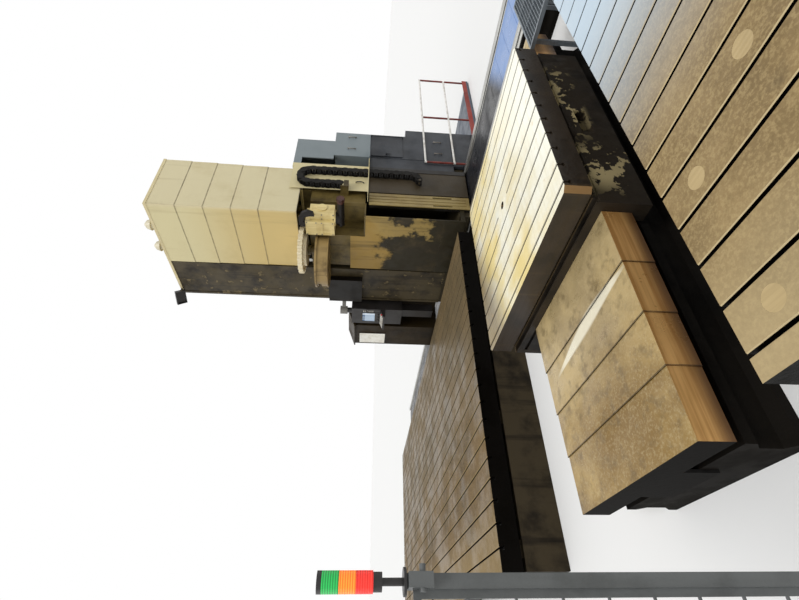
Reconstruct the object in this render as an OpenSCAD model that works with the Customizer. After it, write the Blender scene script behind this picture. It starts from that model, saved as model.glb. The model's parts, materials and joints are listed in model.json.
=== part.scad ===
// Travelling-column horizontal milling machine with a rotary table and floor plates.
// X runs along the long bed, Y points from the table to the column, Z is up.
// The origin is on the floor, under the axis of the rotary table.

/* [Floor plates] */
// Height of the floor plates' working face
plate_top = 770; // [700:5:900]
// Thickness of a floor plate casting
plate_t = 240; // [200:5:300]
// Right-hand edge of the long left field of plates
left_x1 = -2610; // [-2700:10:-2500]
// Length of one casting of the left field
left_cast_len = 2250; // [1500:10:2400]
// Number of castings in the left field
left_casts = 5; // [2:1:5]
// Front edge of the left field
left_y0 = -2925; // [-3100:5:-2800]
// Rear edge of both fields
plate_y1 = 2350; // [2200:5:2400]
// Pitch of the left field's T-slots
left_pitch = 250; // [220:1:280]
// Left edge of the right field
right_x0 = 1490; // [1480:5:1600]
// Length of one casting of the right field
right_cast_len = 1505; // [1200:5:1800]
// Front edge of the right field
right_y0 = -2775; // [-2800:5:-2700]
// Pitch of the right field's T-slots
right_pitch = 247; // [220:1:280]
// Width of a T-slot at the surface
slot_w = 22; // [18:1:40]
// Width of a T-slot's lower channel
slot_head_w = 40; // [36:1:70]
// Height of a T-slot's lower channel
slot_head_h = 18; // [14:1:34]
// Depth of a T-slot
slot_d = 60; // [50:1:90]
// Width of the bevel along a T-slot's edges
slot_bevel = 5; // [2:0.5:7]
// Radius of the round plugs in the right field
plug_r = 58; // [40:1:70]

/* [Rotary table] */
// Side of the square table
table_w = 2150; // [1900:10:2200]
// Thickness of the table
table_t = 200; // [160:5:240]
// Height of the table's working face
table_top = 1010; // [990:5:1100]
// Width of the bevel on each table corner
table_bevel = 55; // [20:1:90]
// Pitch of the table's T-slots
table_pitch = 200; // [180:1:220]
// Width of the table's T-slots at the surface
table_slot_w = 18; // [14:1:32]
// Radius of the table's centring bore
table_bore_r = 40; // [25:1:60]
// Radius of the plain hub round the centring bore
table_hub_r = 160; // [100:5:165]
// Outer radius of the table's bearing ring
bearing_r = 800; // [600:10:900]
// Height of the bearing ring
bearing_h = 20; // [14:1:30]

/* [Saddle and table bed] */
// Width of the saddle under the table
saddle_w = 1990; // [1900:10:2100]
// How far the saddle stands out in front of the table
saddle_ledge = 50; // [20:5:90]
// Height of the saddle's lower edge
saddle_z0 = 370; // [330:5:400]
// Width of the table bed
bed_w = 1300; // [1100:10:1360]
// Sideways offset of the table bed from the table's axis
bed_offset = 190; // [100:5:220]
// Height of the table bed
bed_h = 380; // [340:5:400]
// Height of a guide rail
rail_h = 70; // [50:1:90]
// Width of a guide rail
rail_w = 110; // [80:1:140]

/* [Table way covers] */
// Width of the smallest way cover
cover_w = 1450; // [1400:5:1480]
// Height of the smallest way cover's top
cover_top = 690; // [660:5:700]
// Height of the way covers' lower edge
cover_z0 = 485; // [470:5:520]
// Sheet thickness of the way covers
cover_sheet = 6; // [3:0.5:8]
// Running gap between nested sheets
sheet_gap = 0.6; // [0.4:0.1:0.9]
// Length that the first section shows
show_1 = 425; // [400:5:460]
// Length that the second section shows
show_2 = 360; // [340:5:460]
// Length that the third section shows
show_3 = 400; // [360:5:460]
// Length that the fourth section shows
show_4 = 475; // [440:5:520]
// Length that two neighbouring sections overlap
cover_lap = 60; // [40:5:80]

/* [Column] */
// Left side of the column tower
col_x0 = -5200; // [-5300:10:-5100]
// Width of the column tower
tower_w = 1000; // [900:10:1050]
// Width of the cover box beside the tower
box_w = 1490; // [1460:5:1520]
// Front face of the column
col_y0 = 2775; // [2760:5:2800]
// Depth of the column tower
tower_d = 1605; // [1580:5:1700]
// Depth of the cover box
box_d = 1275; // [1260:5:1290]
// Height of the column's foot
tower_z0 = 650; // [620:5:680]
// Height of the column's top
tower_z1 = 6250; // [6000:10:6400]
// Wall of the column tower
tower_wall = 80; // [40:5:120]
// Sheet thickness of the column's covers
col_sheet = 5; // [3:0.5:6]
// Height of one row of the upper cover
row_h = 480; // [440:5:500]
// Height of the lower edge of the upper cover
upper_z0 = 3650; // [3640:5:3700]

/* [Headstock] */
// Lower face of the headstock
head_z0 = 2420; // [2400:5:2450]
// Top of the headstock's front part
head_z1 = 3440; // [3400:5:3500]
// Left side of the niche at the front corner
niche_x0 = -3270; // [-3300:5:-3250]
// Rear wall of the niche
niche_y1 = 3200; // [3180:5:3260]
// Width of the ram
ram_w = 360; // [300:5:370]
// Height of the ram
ram_h = 400; // [320:5:420]
// Middle of the ram, sideways
ram_x = -3060; // [-3070:5:-3050]
// Middle of the ram, upwards
ram_z = 3200; // [3180:5:3220]
// Length of the ram behind the head
ram_len = 890; // [700:10:900]
// Gap round sliding and seated faces
fit_gap = 0.3; // [0.2:0.05:0.5]
// Radius of the spindle housing
nose_r = 68; // [50:1:80]
// Radius of the spindle
spindle_r = 40; // [25:1:45]

/* [Tool magazine] */
// Radius of the tool disc
disc_r = 460; // [400:10:540]
// Number of pockets in the tool disc
pockets = 24; // [16:1:30]
// Radius of one pocket
pocket_r = 42; // [25:1:50]
// Radius of the tray under the disc
tray_r = 560; // [500:10:610]

/* [Cable chain] */
// Pitch of the chain's links
chain_pitch = 100; // [84:2:106]
// Thickness of the chain
chain_t = 128; // [110:2:140]
// Width of the chain
chain_w = 112; // [80:2:118]
// Number of links in the short strand
links_short = 6; // [3:1:7]
// Number of links in the long strand
links_long = 19; // [12:1:19]

/* [X bed] */
// Left end of the long bed
xbed_x0 = -14000; // [-14500:50:-13900]
// Right end of the long bed
xbed_x1 = 1600; // [1000:50:3000]
// Front face of the long bed
xbed_y0 = 2950; // [2940:5:3000]
// Depth of the long bed
xbed_d = 1400; // [1300:10:1420]
// Height of the long bed
xbed_h = 379; // [350:1:385]

/* [Platform and guard] */
// Length of the rear platform
platform_len = 3555; // [3000:5:4000]
// Height of the rear platform's floor
platform_z = 60; // [55:5:200]
// Height of the handrail over the platform
rail_up = 1190; // [1000:10:1250]
// Radius of the handrail tube
rail_r = 21; // [16:1:30]
// Height of the guard post
post_h = 2200; // [1900:10:2300]
// Side of the guard post
post_w = 40; // [36:1:60]
// Radius of the signal tower
lamp_r = 30; // [25:1:40]
// Height of one lamp of the signal tower
lamp_h = 49; // [40:1:75]

/* [Rear cabinets] */
// Height of the lower cabinets' top
cab_low_z1 = 1620; // [1500:10:1700]
// Height of the upper cabinet's foot
cab_top_z0 = 3100; // [2900:10:3200]
// Height of the upper cabinet's top
cab_top_z1 = 3870; // [3600:10:3900]
// Depth of the lower cabinets, behind the cable chain
cab_low_d = 1360; // [1200:5:1500]
// Depth of the middle cabinets
cab_mid_d = 1125; // [1090:5:1300]
// Depth of the upper cabinet
cab_top_d = 805; // [700:5:900]
// Height of the side cover under the chain's panel
side_z1 = 2360; // [2300:5:2400]

/* [Lower covers] */
// Top edge of the middle lower cover
low_b_z1 = 1980; // [1900:10:2040]
// Top edge of the fixed lower cover
low_c_z1 = 950; // [900:10:1000]

/* [Console] */
// Width of the operator's cabinet
opcab_w = 760; // [700:10:800]
// Height of the operator's cabinet
opcab_z1 = 2550; // [2400:10:2600]
// Width of the console
console_w = 540; // [520:10:560]
// Height of the console's top
console_z1 = 2640; // [2550:10:2660]

/* [Hidden] */
$fn = 64;

// Floor plates
left_len = left_casts * left_cast_len;
plate_z0 = plate_top - plate_t;
left_first = left_y0 + 285;
left_slots = floor((plate_y1 - left_first - 60) / left_pitch) + 1;
right_first = right_y0 + 125;
right_slots = floor((plate_y1 - right_first - 60) / right_pitch) + 1;
right_casts = 2;
right_len = right_casts * right_cast_len;
joint_gap = 0.5;
plate_rib = 60;
beam_w = 260;
beam_h = plate_z0 - 40;
plug_t = 30;
plugs = [[235, 0], [235, 3], [750, 4], [1740, 1], [1740, 5], [2250, 2]];

// Table, saddle and table bed
table_z0 = table_top - table_t;
saddle_z1 = table_z0 - bearing_h;
saddle_x0 = -saddle_w / 2 + 20;
saddle_x1 = saddle_x0 + saddle_w;
saddle_y0 = -table_w / 2 - saddle_ledge;
saddle_y1 = table_w / 2 + saddle_ledge / 2;
bed_x0 = bed_offset - bed_w / 2;
bed_x1 = bed_offset + bed_w / 2;
cover_step = cover_sheet + sheet_gap;
front_y4 = saddle_y0 - show_4;
front_y3 = front_y4 - show_3;
front_y2 = front_y3 - show_2;
front_y1 = front_y2 - show_1;
rear_show = 70;
rear_len = rear_show + 410;
rear_y4 = saddle_y1 + 3 * rear_show;
bed_y0 = front_y1 + 20;
bed_y1 = rear_y4 + rear_len;
table_slots = 2 * floor((table_w / 2 - 60) / table_pitch) + 1;
table_slot_d = 48;

// Column
tower_x1 = col_x0 + tower_w;
box_x1 = tower_x1 + box_w;
tower_y1 = col_y0 + tower_d;
col_step = col_sheet + sheet_gap;
cover_x0 = tower_x1 + 12;
base_z0 = xbed_h + rail_h + fit_gap;
base_x0 = col_x0 - 20;
base_x1 = box_x1 - 80;
base_y0 = col_y0 + 175;
chain_x0 = box_x1 + 18;
panel_y0 = col_y0 + 650;
panel_y1 = col_y0 + 1300;
pillar_y0 = col_y0 + 300;
pillar_y1 = panel_y0 - 30;
pillar_h = side_z1 - 10 - base_z0;
xbed_y1 = xbed_y0 + xbed_d;
xrail_1 = xbed_y0 + 130;
xrail_2 = xbed_y1 - 130;

// Headstock, head and magazine
head_x0 = tower_x1 + 100;
head_x1 = box_x1 - 100;
head_y0 = col_y0 + 25;
head_y1 = col_y0 + 1225;
vrail_1 = col_y0 + 220;
vrail_2 = col_y0 + 1020;
ram_y0 = niche_y1 - 110;
disc_x = tower_x1 + 130 + disc_r;
disc_y = col_y0 - 75;
disc_bore_r = 60;
disc_z = head_z1 + 110;
disc_t = 85;
tray_x = niche_x0 - 20 - tray_r;
tray_z0 = head_z1 - 360;
nose_x = -2930;
nose_y = col_y0 + 125;
nose_z = 2860;

// Cable chain
bend_links = 6;
turn_links = 3;
link_a = 180 / bend_links;
chain_r = chain_pitch / 2 / sin(link_a / 2);
chain_y1 = panel_y0 + 20 + chain_t / 2;
chain_y2 = chain_y1 + 2 * chain_r;
chain_z = head_z1 + 45;
panel_z1 = chain_z + 365;
link_r = chain_pitch / 2 - fit_gap;
chain_top_z = chain_z - links_short * chain_pitch - link_r;
chain_end_y = chain_y2 - chain_r + chain_r * cos(turn_links * link_a);
chain_end_z = chain_z - links_long * chain_pitch - chain_r * sin(turn_links * link_a);
plate_th = 8;
pin_r = 16;

// Rear platform and guard
platform_y0 = tower_y1 - 110;
platform_x0 = tower_x1 - 50;
platform_x1 = box_x1 + 60;
post_x = 1460;
post_y = -3440;

// A block between two corners.
module block(x, y, z) {
    translate([x[0], y[0], z[0]])
        cube([x[1] - x[0], y[1] - y[0], z[1] - z[0]]);
}

// A profile drawn in Y and Z, drawn out along X from x0 to x1.
module along_x(x0, x1) {
    translate([x0, 0, 0])
        rotate([90, 0, 90])
            linear_extrude(x1 - x0)
                children();
}

// A profile drawn in X and Z, drawn out along Y from y0 to y1.
module along_y(y0, y1) {
    translate([0, y1, 0])
        rotate([90, 0, 0])
            linear_extrude(y1 - y0)
                children();
}

// A rod along X, Y or Z from point p.
module rod_x(p, r, l) {
    translate(p)
        rotate([0, 90, 0])
            cylinder(r = r, h = l);
}

module rod_y(p, r, l) {
    translate(p)
        rotate([-90, 0, 0])
            cylinder(r = r, h = l);
}

module rod_z(p, r, l) {
    translate(p)
        cylinder(r = r, h = l);
}

// The section of one T-slot, its mouth at height 0, with bevelled lips.
module t_slot(w, d) {
    polygon([
        [-w / 2 - slot_bevel, 1], [-w / 2 - slot_bevel, 0], [-w / 2, -slot_bevel],
        [-w / 2, -d + slot_head_h], [-slot_head_w / 2, -d + slot_head_h],
        [-slot_head_w / 2, -d], [slot_head_w / 2, -d],
        [slot_head_w / 2, -d + slot_head_h], [w / 2, -d + slot_head_h],
        [w / 2, -slot_bevel], [w / 2 + slot_bevel, 0], [w / 2 + slot_bevel, 1]
    ]);
}

// One ribbed plate casting with its row of slots.
module plate_casting(x0, x1, y0, first, pitch, count) {
    difference() {
        along_x(x0, x1)
            difference() {
                translate([y0, plate_z0])
                    square([plate_y1 - y0, plate_t]);
                for (i = [0 : count - 1])
                    translate([first + i * pitch, plate_top])
                        t_slot(slot_w, slot_d);
            }
        for (i = [0 : 3])
            let (bay = (plate_y1 - y0 - plate_rib) / 4)
                block([x0 + plate_rib, x1 - plate_rib],
                      [y0 + plate_rib + i * bay, y0 + (i + 1) * bay],
                      [plate_z0 - 1, plate_top - slot_d - 50]);
    }
}

module left_floor_plates() {
    color([0.40, 0.36, 0.31])
        for (i = [0 : left_casts - 1])
            plate_casting(left_x1 - (i + 1) * left_cast_len + joint_gap,
                          left_x1 - i * left_cast_len,
                          left_y0, left_first, left_pitch, left_slots);
}

// Where plug i sits: its distance from the field's left edge, and the strip it is on.
function plug_at(i) = [
    right_x0 + plugs[i][0],
    right_first + (plugs[i][1] + 0.5) * right_pitch
];

module right_floor_plates() {
    color([0.47, 0.42, 0.35])
        difference() {
            for (i = [0 : right_casts - 1])
                plate_casting(right_x0 + i * right_cast_len,
                              right_x0 + (i + 1) * right_cast_len - joint_gap,
                              right_y0, right_first, right_pitch, right_slots);
            for (i = [0 : len(plugs) - 1])
                translate([plug_at(i)[0], plug_at(i)[1], plate_top - plug_t])
                    cylinder(r = plug_r + fit_gap, h = plug_t + 1);
        }
}

module plate_plugs() {
    color([0.62, 0.57, 0.49])
        for (i = [0 : len(plugs) - 1])
            translate([plug_at(i)[0], plug_at(i)[1], plate_top - plug_t])
                cylinder(r = plug_r, h = plug_t);
}

// A hollow beam across the plates, with levelling wedges between it and them.
module support_beam(x, y0) {
    difference() {
        block([x, x + beam_w], [y0 + 60, plate_y1 - 60], [0, beam_h]);
        block([x + 30, x + beam_w - 30], [y0 + 59, plate_y1 - 59], [30, beam_h - 30]);
    }
    for (i = [0 : 3])
        translate([x + beam_w / 2 - 90, y0 + 200 + i * (plate_y1 - y0 - 580) / 3, beam_h])
            cube([180, 180, plate_z0 - beam_h]);
}

module plate_supports() {
    color([0.30, 0.26, 0.21]) {
        for (i = [0 : left_casts])
            let (back = i == 0 ? beam_w + 20 : (i == left_casts ? -20 : beam_w / 2))
                support_beam(left_x1 - i * left_cast_len - back, left_y0);
        for (i = [0 : right_casts])
            let (back = i == 0 ? -20 : (i == right_casts ? beam_w + 20 : beam_w / 2))
                support_beam(right_x0 + i * right_cast_len - back, right_y0);
    }
}

// A bed casting: a wide foot, a narrower waist and a wide top.
module bed_section(w, h) {
    polygon([
        [-w / 2, 0], [w / 2, 0], [w / 2, 60], [w / 2 - 60, 120],
        [w / 2 - 60, h - 120], [w / 2, h - 70], [w / 2, h],
        [-w / 2, h], [-w / 2, h - 70], [-w / 2 + 60, h - 120],
        [-w / 2 + 60, 120], [-w / 2, 60]
    ]);
}

module machine_beds() {
    color([0.20, 0.19, 0.17]) {
        along_y(bed_y0, bed_y1)
            translate([bed_offset, 0])
                bed_section(bed_w, bed_h);
        along_x(xbed_x0, xbed_x1)
            translate([(xbed_y0 + xbed_y1) / 2, 0])
                bed_section(xbed_d, xbed_h);
    }
}

// A guide rail with a waisted section, as a carriage grips it; g widens it to the groove that fits.
module rail_section(g = 0) {
    w = rail_w / 2 + g;
    h = rail_h + g;
    polygon([
        [-w, 0], [w, 0], [w - 14, h * 0.45], [w, h * 0.7], [w - 10, h],
        [-w + 10, h], [-w, h * 0.7], [-w + 14, h * 0.45]
    ]);
}

module way_rails() {
    color([0.62, 0.62, 0.60]) {
        for (s = [-1, 1])
            along_y(bed_y0 + 40, bed_y1 - 40)
                translate([bed_offset + s * (bed_w / 2 - 130), bed_h])
                    rail_section();
        for (y = [xrail_1, xrail_2])
            along_x(xbed_x0 + 40, xbed_x1 - 40)
                translate([y, xbed_h])
                    rail_section();
    }
}

module saddle() {
    channel_x0 = bed_x0 - 25;
    channel_x1 = bed_x1 + 25;
    color([0.16, 0.14, 0.11])
        difference() {
            union() {
                block([saddle_x0, saddle_x1], [saddle_y0, saddle_y1], [saddle_z0, saddle_z1 - 45]);
                block([saddle_x0 + 15, saddle_x1 - 15], [saddle_y0 + 60, saddle_y1],
                      [saddle_z1 - 46, saddle_z1]);
                // Lip along the front edge, with a turned-up end.
                block([saddle_x0, saddle_x1], [saddle_y0, saddle_y0 + 12], [saddle_z1 - 46, saddle_z1 - 15]);
                block([saddle_x0, saddle_x0 + 14], [saddle_y0, saddle_y0 + 60],
                      [saddle_z1 - 46, saddle_z1 - 5]);
            }
            // Channel over the bed.
            block([channel_x0, channel_x1], [saddle_y0 - 1, saddle_y1 + 1],
                  [saddle_z0 - 1, bed_h + rail_h + fit_gap]);
            // Long slot in the front face and a window in the right side.
            block([saddle_x0 + 60, saddle_x0 + 900], [saddle_y0 - 1, saddle_y0 + 30],
                  [saddle_z1 - 105, saddle_z1 - 75]);
            block([saddle_x1 - 60, saddle_x1 + 1], [-250, 70], [saddle_z0 + 175, saddle_z0 + 280]);
        }
}

// Ring bearing between the saddle and the table.
module table_bearing() {
    color([0.48, 0.48, 0.46])
        difference() {
            translate([0, 0, saddle_z1])
                cylinder(r = bearing_r, h = bearing_h, $fn = 96);
            translate([0, 0, saddle_z1 - 1])
                cylinder(r = bearing_r - 120, h = bearing_h + 2, $fn = 96);
        }
}

module rotary_table() {
    b = table_bevel / sqrt(2);
    h = table_w / 2;
    color([0.78, 0.75, 0.66])
        difference() {
            union() {
                intersection() {
                    along_x(-h, h)
                        difference() {
                            translate([-h, table_z0 + fit_gap])
                                square([table_w, table_t - fit_gap]);
                            for (i = [0 : table_slots - 1])
                                translate([(i - (table_slots - 1) / 2) * table_pitch, table_top])
                                    t_slot(table_slot_w, table_slot_d + slot_head_h / 2);
                        }
                    translate([0, 0, table_z0 - 1])
                        linear_extrude(table_t + 2)
                            polygon([
                                [-h + b, -h], [h - b, -h], [h, -h + b], [h, h - b],
                                [h - b, h], [-h + b, h], [-h, h - b], [-h, -h + b]
                            ]);
                }
                translate([0, 0, table_z0 + fit_gap])
                    cylinder(r = table_hub_r, h = table_t - fit_gap);
            }
            translate([0, 0, table_z0 - 1])
                cylinder(r = table_bore_r, h = table_t + 2);
        }
}

// One way cover section: a top and two sides of folded sheet, n steps larger than the smallest.
module way_cover(n, y0, y1) {
    hw = cover_w / 2 + n * cover_step;
    top = cover_top + n * cover_step;
    along_y(y0, y1)
        translate([bed_offset, 0])
            polygon([
                [-hw, cover_z0], [-hw, top], [hw, top], [hw, cover_z0],
                [hw - cover_sheet, cover_z0], [hw - cover_sheet, top - cover_sheet],
                [-hw + cover_sheet, top - cover_sheet], [-hw + cover_sheet, cover_z0]
            ]);
}

// The end sections stand on the bed's ends, each closed by an end plate.
module end_covers() {
    color([0.52, 0.43, 0.30]) {
        way_cover(0, front_y1, front_y2 + cover_lap);
        block([bed_offset - cover_w / 2 + cover_sheet, bed_offset + cover_w / 2 - cover_sheet],
              [front_y1, front_y1 + 20], [cover_z0, cover_top - cover_sheet]);
        way_cover(0, rear_y4, rear_y4 + rear_len);
        block([bed_offset - cover_w / 2 + cover_sheet, bed_offset + cover_w / 2 - cover_sheet],
              [bed_y1, bed_y1 + 20], [cover_z0, cover_top - cover_sheet]);
        // Tabs that carry the end plates on the bed's ends.
        for (y = [front_y1, bed_y1])
            block([bed_offset - 250, bed_offset + 250], [y, y + 20], [bed_h - 120, cover_z0 + 1]);
        block([bed_offset - cover_w / 2, bed_offset + cover_w / 2],
              [rear_y4 + rear_len, rear_y4 + rear_len + 20], [cover_z0, cover_top]);
    }
}

module front_cover_2() {
    color([0.52, 0.44, 0.32])
        way_cover(1, front_y2, front_y3 + cover_lap);
}

module front_cover_3() {
    color([0.50, 0.43, 0.33])
        way_cover(2, front_y3, front_y4 + cover_lap);
}

module saddle_covers() {
    color([0.48, 0.42, 0.33]) {
        way_cover(3, front_y4, saddle_y0);
        way_cover(3, saddle_y1, saddle_y1 + rear_len);
    }
}

module rear_cover_2() {
    color([0.50, 0.43, 0.33])
        way_cover(2, saddle_y1 + rear_show, saddle_y1 + rear_show + rear_len);
}

module rear_cover_3() {
    color([0.50, 0.43, 0.33])
        way_cover(1, saddle_y1 + 2 * rear_show, saddle_y1 + 2 * rear_show + rear_len);
}

// A steel band over the middle of the long bed; the column base passes over it.
module x_way_band() {
    pitch = 400;
    count = floor((xbed_x1 - xbed_x0 - 100) / pitch);
    color([0.45, 0.55, 0.72])
        for (i = [0 : count - 1])
            translate([xbed_x0 + 50 + i * pitch, 0, xbed_h])
                block([0, pitch - 6], [xrail_1 + rail_w, xrail_2 - rail_w], [0, 36]);
}

module column_base() {
    color([0.19, 0.18, 0.16])
        difference() {
            block([base_x0, base_x1], [base_y0, tower_y1], [base_z0, tower_z0]);
            // Clearance over the band.
            block([base_x0 - 1, base_x1 + 1], [xrail_1 + rail_w - 20, xrail_2 - rail_w + 20],
                  [base_z0 - 1, base_z0 + 30]);
        }
}

module column_tower() {
    color([0.25, 0.24, 0.21])
        difference() {
            union() {
                block([col_x0, tower_x1], [col_y0 + 20, tower_y1], [tower_z0, tower_z1]);
                // Flared foot, bolted to the base.
                block([col_x0 - 20, tower_x1], [base_y0, tower_y1], [tower_z0, tower_z0 + 60]);
            }
            for (i = [0 : 3])
                let (bay = (tower_z1 - tower_z0 - tower_wall) / 4)
                    block([col_x0 + tower_wall, tower_x1 - tower_wall],
                          [col_y0 + 20 + tower_wall, tower_y1 - tower_wall],
                          [tower_z0 + i * bay - (i == 0 ? 1 : -tower_wall / 2),
                           tower_z0 + (i + 1) * bay - tower_wall / 2]);
            // Core holes through the diaphragms.
            rod_z([(col_x0 + tower_x1) / 2, (col_y0 + 20 + tower_y1) / 2, tower_z0 - 1], 220,
                  tower_z1 - tower_z0 - 2 * tower_wall);
        }
    color([0.25, 0.24, 0.21]) {
        // Closing sheet behind the headstock.
        block([tower_x1 - 1, base_x1], [col_y0 + box_d + 5, col_y0 + box_d + 11], [tower_z0, upper_z0]);
        // Bracket and pin that carry the console boom.
        block([pivot_x - 70, col_x0], [pivot_y - 70, pivot_y + 70], [boom_z - 100, boom_z - 30 - fit_gap]);
        rod_z([pivot_x, pivot_y, boom_z - 100], pivot_r, 200);
    }
}

// Guard sheet on the tower's front, its edge trims, and the junction box.
module front_guard() {
    color([0.33, 0.32, 0.30]) {
        block([col_x0, tower_x1], [col_y0 + 12, col_y0 + 20], [tower_z0 + 60, tower_z1]);
        block([col_x0, col_x0 + 60], [col_y0, col_y0 + 12], [tower_z0 + 60, tower_z1]);
        block([tower_x1 - 50, tower_x1], [col_y0, col_y0 + 12], [tower_z0 + 60, tower_z1]);
        block([col_x0 + 70, tray_x - tray_r - 20], [col_y0 - 120, col_y0 + 12], [2430, 3130]);
    }
}

module top_cap() {
    color([0.80, 0.76, 0.64]) {
        block([col_x0 - 15, tower_x1], [col_y0 - 5, tower_y1 + 10], [tower_z1, tower_z1 + 50]);
        block([tower_x1, box_x1 + 8], [col_y0 - 5, col_y0 + box_d + 10], [tower_z1, tower_z1 + 50]);
    }
}

module vertical_rails() {
    color([0.60, 0.60, 0.58])
        for (y = [vrail_1, vrail_2])
            translate([tower_x1, y, tower_z0 + 60])
                linear_extrude(tower_z1 - tower_z0 - 160)
                    rotate(-90)
                        rail_section();
}

module top_vents() {
    color([0.70, 0.66, 0.56])
        for (x = [tower_x1 + 260, tower_x1 + 820])
            translate([x, col_y0 + 170, tower_z1 + 50]) {
                cylinder(r = 70, h = 100);
                translate([0, 0, 100])
                    cylinder(r1 = 110, r2 = 85, h = 80);
                translate([0, 0, 180])
                    cylinder(r1 = 85, r2 = 30, h = 50);
            }
}

module floodlight() {
    x = col_x0 + 130;
    color([0.22, 0.22, 0.21]) {
        block([x - 20, x + 20], [col_y0 - 230, col_y0 - 5], [tower_z1 + 10, tower_z1 + 40]);
        translate([x, col_y0 - 210, tower_z1])
            rotate([35, 0, 20])
                difference() {
                    translate([-150, -60, -100])
                        cube([300, 70, 200]);
                    translate([-130, -61, -80])
                        cube([260, 25, 160]);
                }
    }
}

// One folded section of the upper cover, k steps inside the outermost.
module upper_cover(k, z0, z1) {
    x1 = box_x1 - k * col_step;
    y0 = col_y0 + k * col_step;
    y1 = col_y0 + box_d - k * col_step;
    t = col_sheet;
    translate([0, 0, z0])
        linear_extrude(z1 - z0)
            polygon([
                [cover_x0, y0], [x1, y0], [x1, y1], [cover_x0, y1],
                [cover_x0, y1 - t], [x1 - t, y1 - t], [x1 - t, y0 + t], [cover_x0, y0 + t]
            ]);
}

// Lower edge of cover row k, counted from the top.
function row_z(k) = k == 5 ? upper_z0 : tower_z1 - k * row_h;
row_lap = 340;

module upper_cover_1() {
    color([0.82, 0.77, 0.62])
        upper_cover(0, row_z(1), tower_z1);
}

module upper_cover_2() {
    color([0.82, 0.76, 0.60])
        upper_cover(1, row_z(2), row_z(1) + row_lap);
}

module upper_cover_3() {
    color([0.81, 0.75, 0.58])
        upper_cover(2, row_z(3), row_z(2) + row_lap);
}

module upper_cover_4() {
    color([0.80, 0.73, 0.55])
        upper_cover(3, row_z(4), row_z(3) + row_lap);
}

// The lowest row hangs on the headstock, so it has a ledge that rests on it.
module upper_cover_5() {
    color([0.80, 0.72, 0.53]) {
        upper_cover(4, upper_z0, row_z(4) + row_lap);
        block([head_x0, head_x1], [niche_y1 + 300, head_y1], [upper_z0 - 30, upper_z0 - 20]);
        block([cover_x0, box_x1 - 5 * col_step], [head_y1 - 5, col_y0 + box_d - 5 * col_step + sheet_gap],
              [upper_z0 - 20, upper_z0 + 20]);
        block([head_x0, head_x1], [niche_y1 + 300, head_y1 - 5], [upper_z0 - 20, upper_z0 + 20]);
    }
}

// Lower front covers: sheets with a return flange at the right edge.
lower_x0 = cover_x0 + 15;
lower_x1 = box_x1 - 40;

module lower_sheet(k, z0, z1, z1_right, flange) {
    y0 = col_y0 + k * col_step;
    x1 = lower_x1 - k * col_step;
    translate([0, y0 + col_sheet, 0])
        rotate([90, 0, 0])
            linear_extrude(col_sheet)
                polygon([
                    [lower_x0, z0], [x1, z0], [x1, z1_right],
                    [niche_x0, z1_right], [niche_x0, z1], [lower_x0, z1]
                ]);
    block([x1 - col_sheet, x1], [y0, y0 + flange], [z0, z1_right]);
}

module lower_cover_a() {
    color([0.72, 0.62, 0.40]) {
        lower_sheet(2, low_b_z1 - 230, head_z0 + 260, head_z0 - 20, 25);
        block([head_x0, niche_x0 - 5], [col_y0 + 2 * col_step + col_sheet, head_y0],
              [head_z0 + 80, head_z0 + 260]);
    }
}

module lower_cover_b() {
    color([0.40, 0.36, 0.25])
        lower_sheet(1, low_c_z1 - 200, low_b_z1, low_b_z1, 25);
}

module lower_cover_c() {
    color([0.24, 0.22, 0.16]) {
        lower_sheet(0, 560, low_c_z1, low_c_z1, 25);
        // Side wall back to the base, and a low wall back to the pillar.
        block([lower_x0 - col_sheet, lower_x0], [col_y0, base_y0], [560, tower_z0]);
        block([lower_x0 - col_sheet, lower_x0], [col_y0, vrail_1 - rail_w / 2 - 5], [560, low_c_z1]);
        block([lower_x1 - col_sheet, lower_x1], [col_y0, pillar_y0], [560, 640]);
    }
}

// Ribbed post cover on the right side, with two slots near its foot.
module way_pillar() {
    color([0.76, 0.68, 0.48])
        difference() {
            block([box_x1 - 80, box_x1], [pillar_y0, pillar_y1], [base_z0, base_z0 + pillar_h]);
            for (i = [1 : 3])
                let (y = pillar_y0 + i * (pillar_y1 - pillar_y0) / 4)
                    block([box_x1 - 12, box_x1 + 1], [y - 8, y + 8], [base_z0 + 60, base_z0 + pillar_h + 1]);
            for (y = [pillar_y0 + 38, pillar_y1 - 62])
                block([box_x1 - 50, box_x1 + 1], [y, y + 34], [base_z0 + 330, base_z0 + 700]);
        }
}

// Dark folded side cover behind the pillar, and the rear low panels.
module side_cover() {
    color([0.21, 0.20, 0.19]) {
        difference() {
            block([box_x1 - 80, box_x1], [panel_y0, panel_y1], [base_z0, side_z1]);
            block([box_x1 - 81, box_x1 - 8], [panel_y0 + 8, panel_y1 - 8], [tower_z0 + 20, side_z1 - 8]);
        }
        block([box_x1 - 1, box_x1 + 10], [panel_y0, panel_y1], [side_z1 - 4, side_z1 + 12]);
        // Pin that holds the chain's fixed end.
        rod_x([box_x1 - 1, chain_end_y, chain_end_z], pin_r, chain_w + chain_x0 - box_x1 + 1);
        rod_x([chain_x0 + chain_w + fit_gap, chain_end_y, chain_end_z], pin_r + 10, 8);
    }
}

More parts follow.
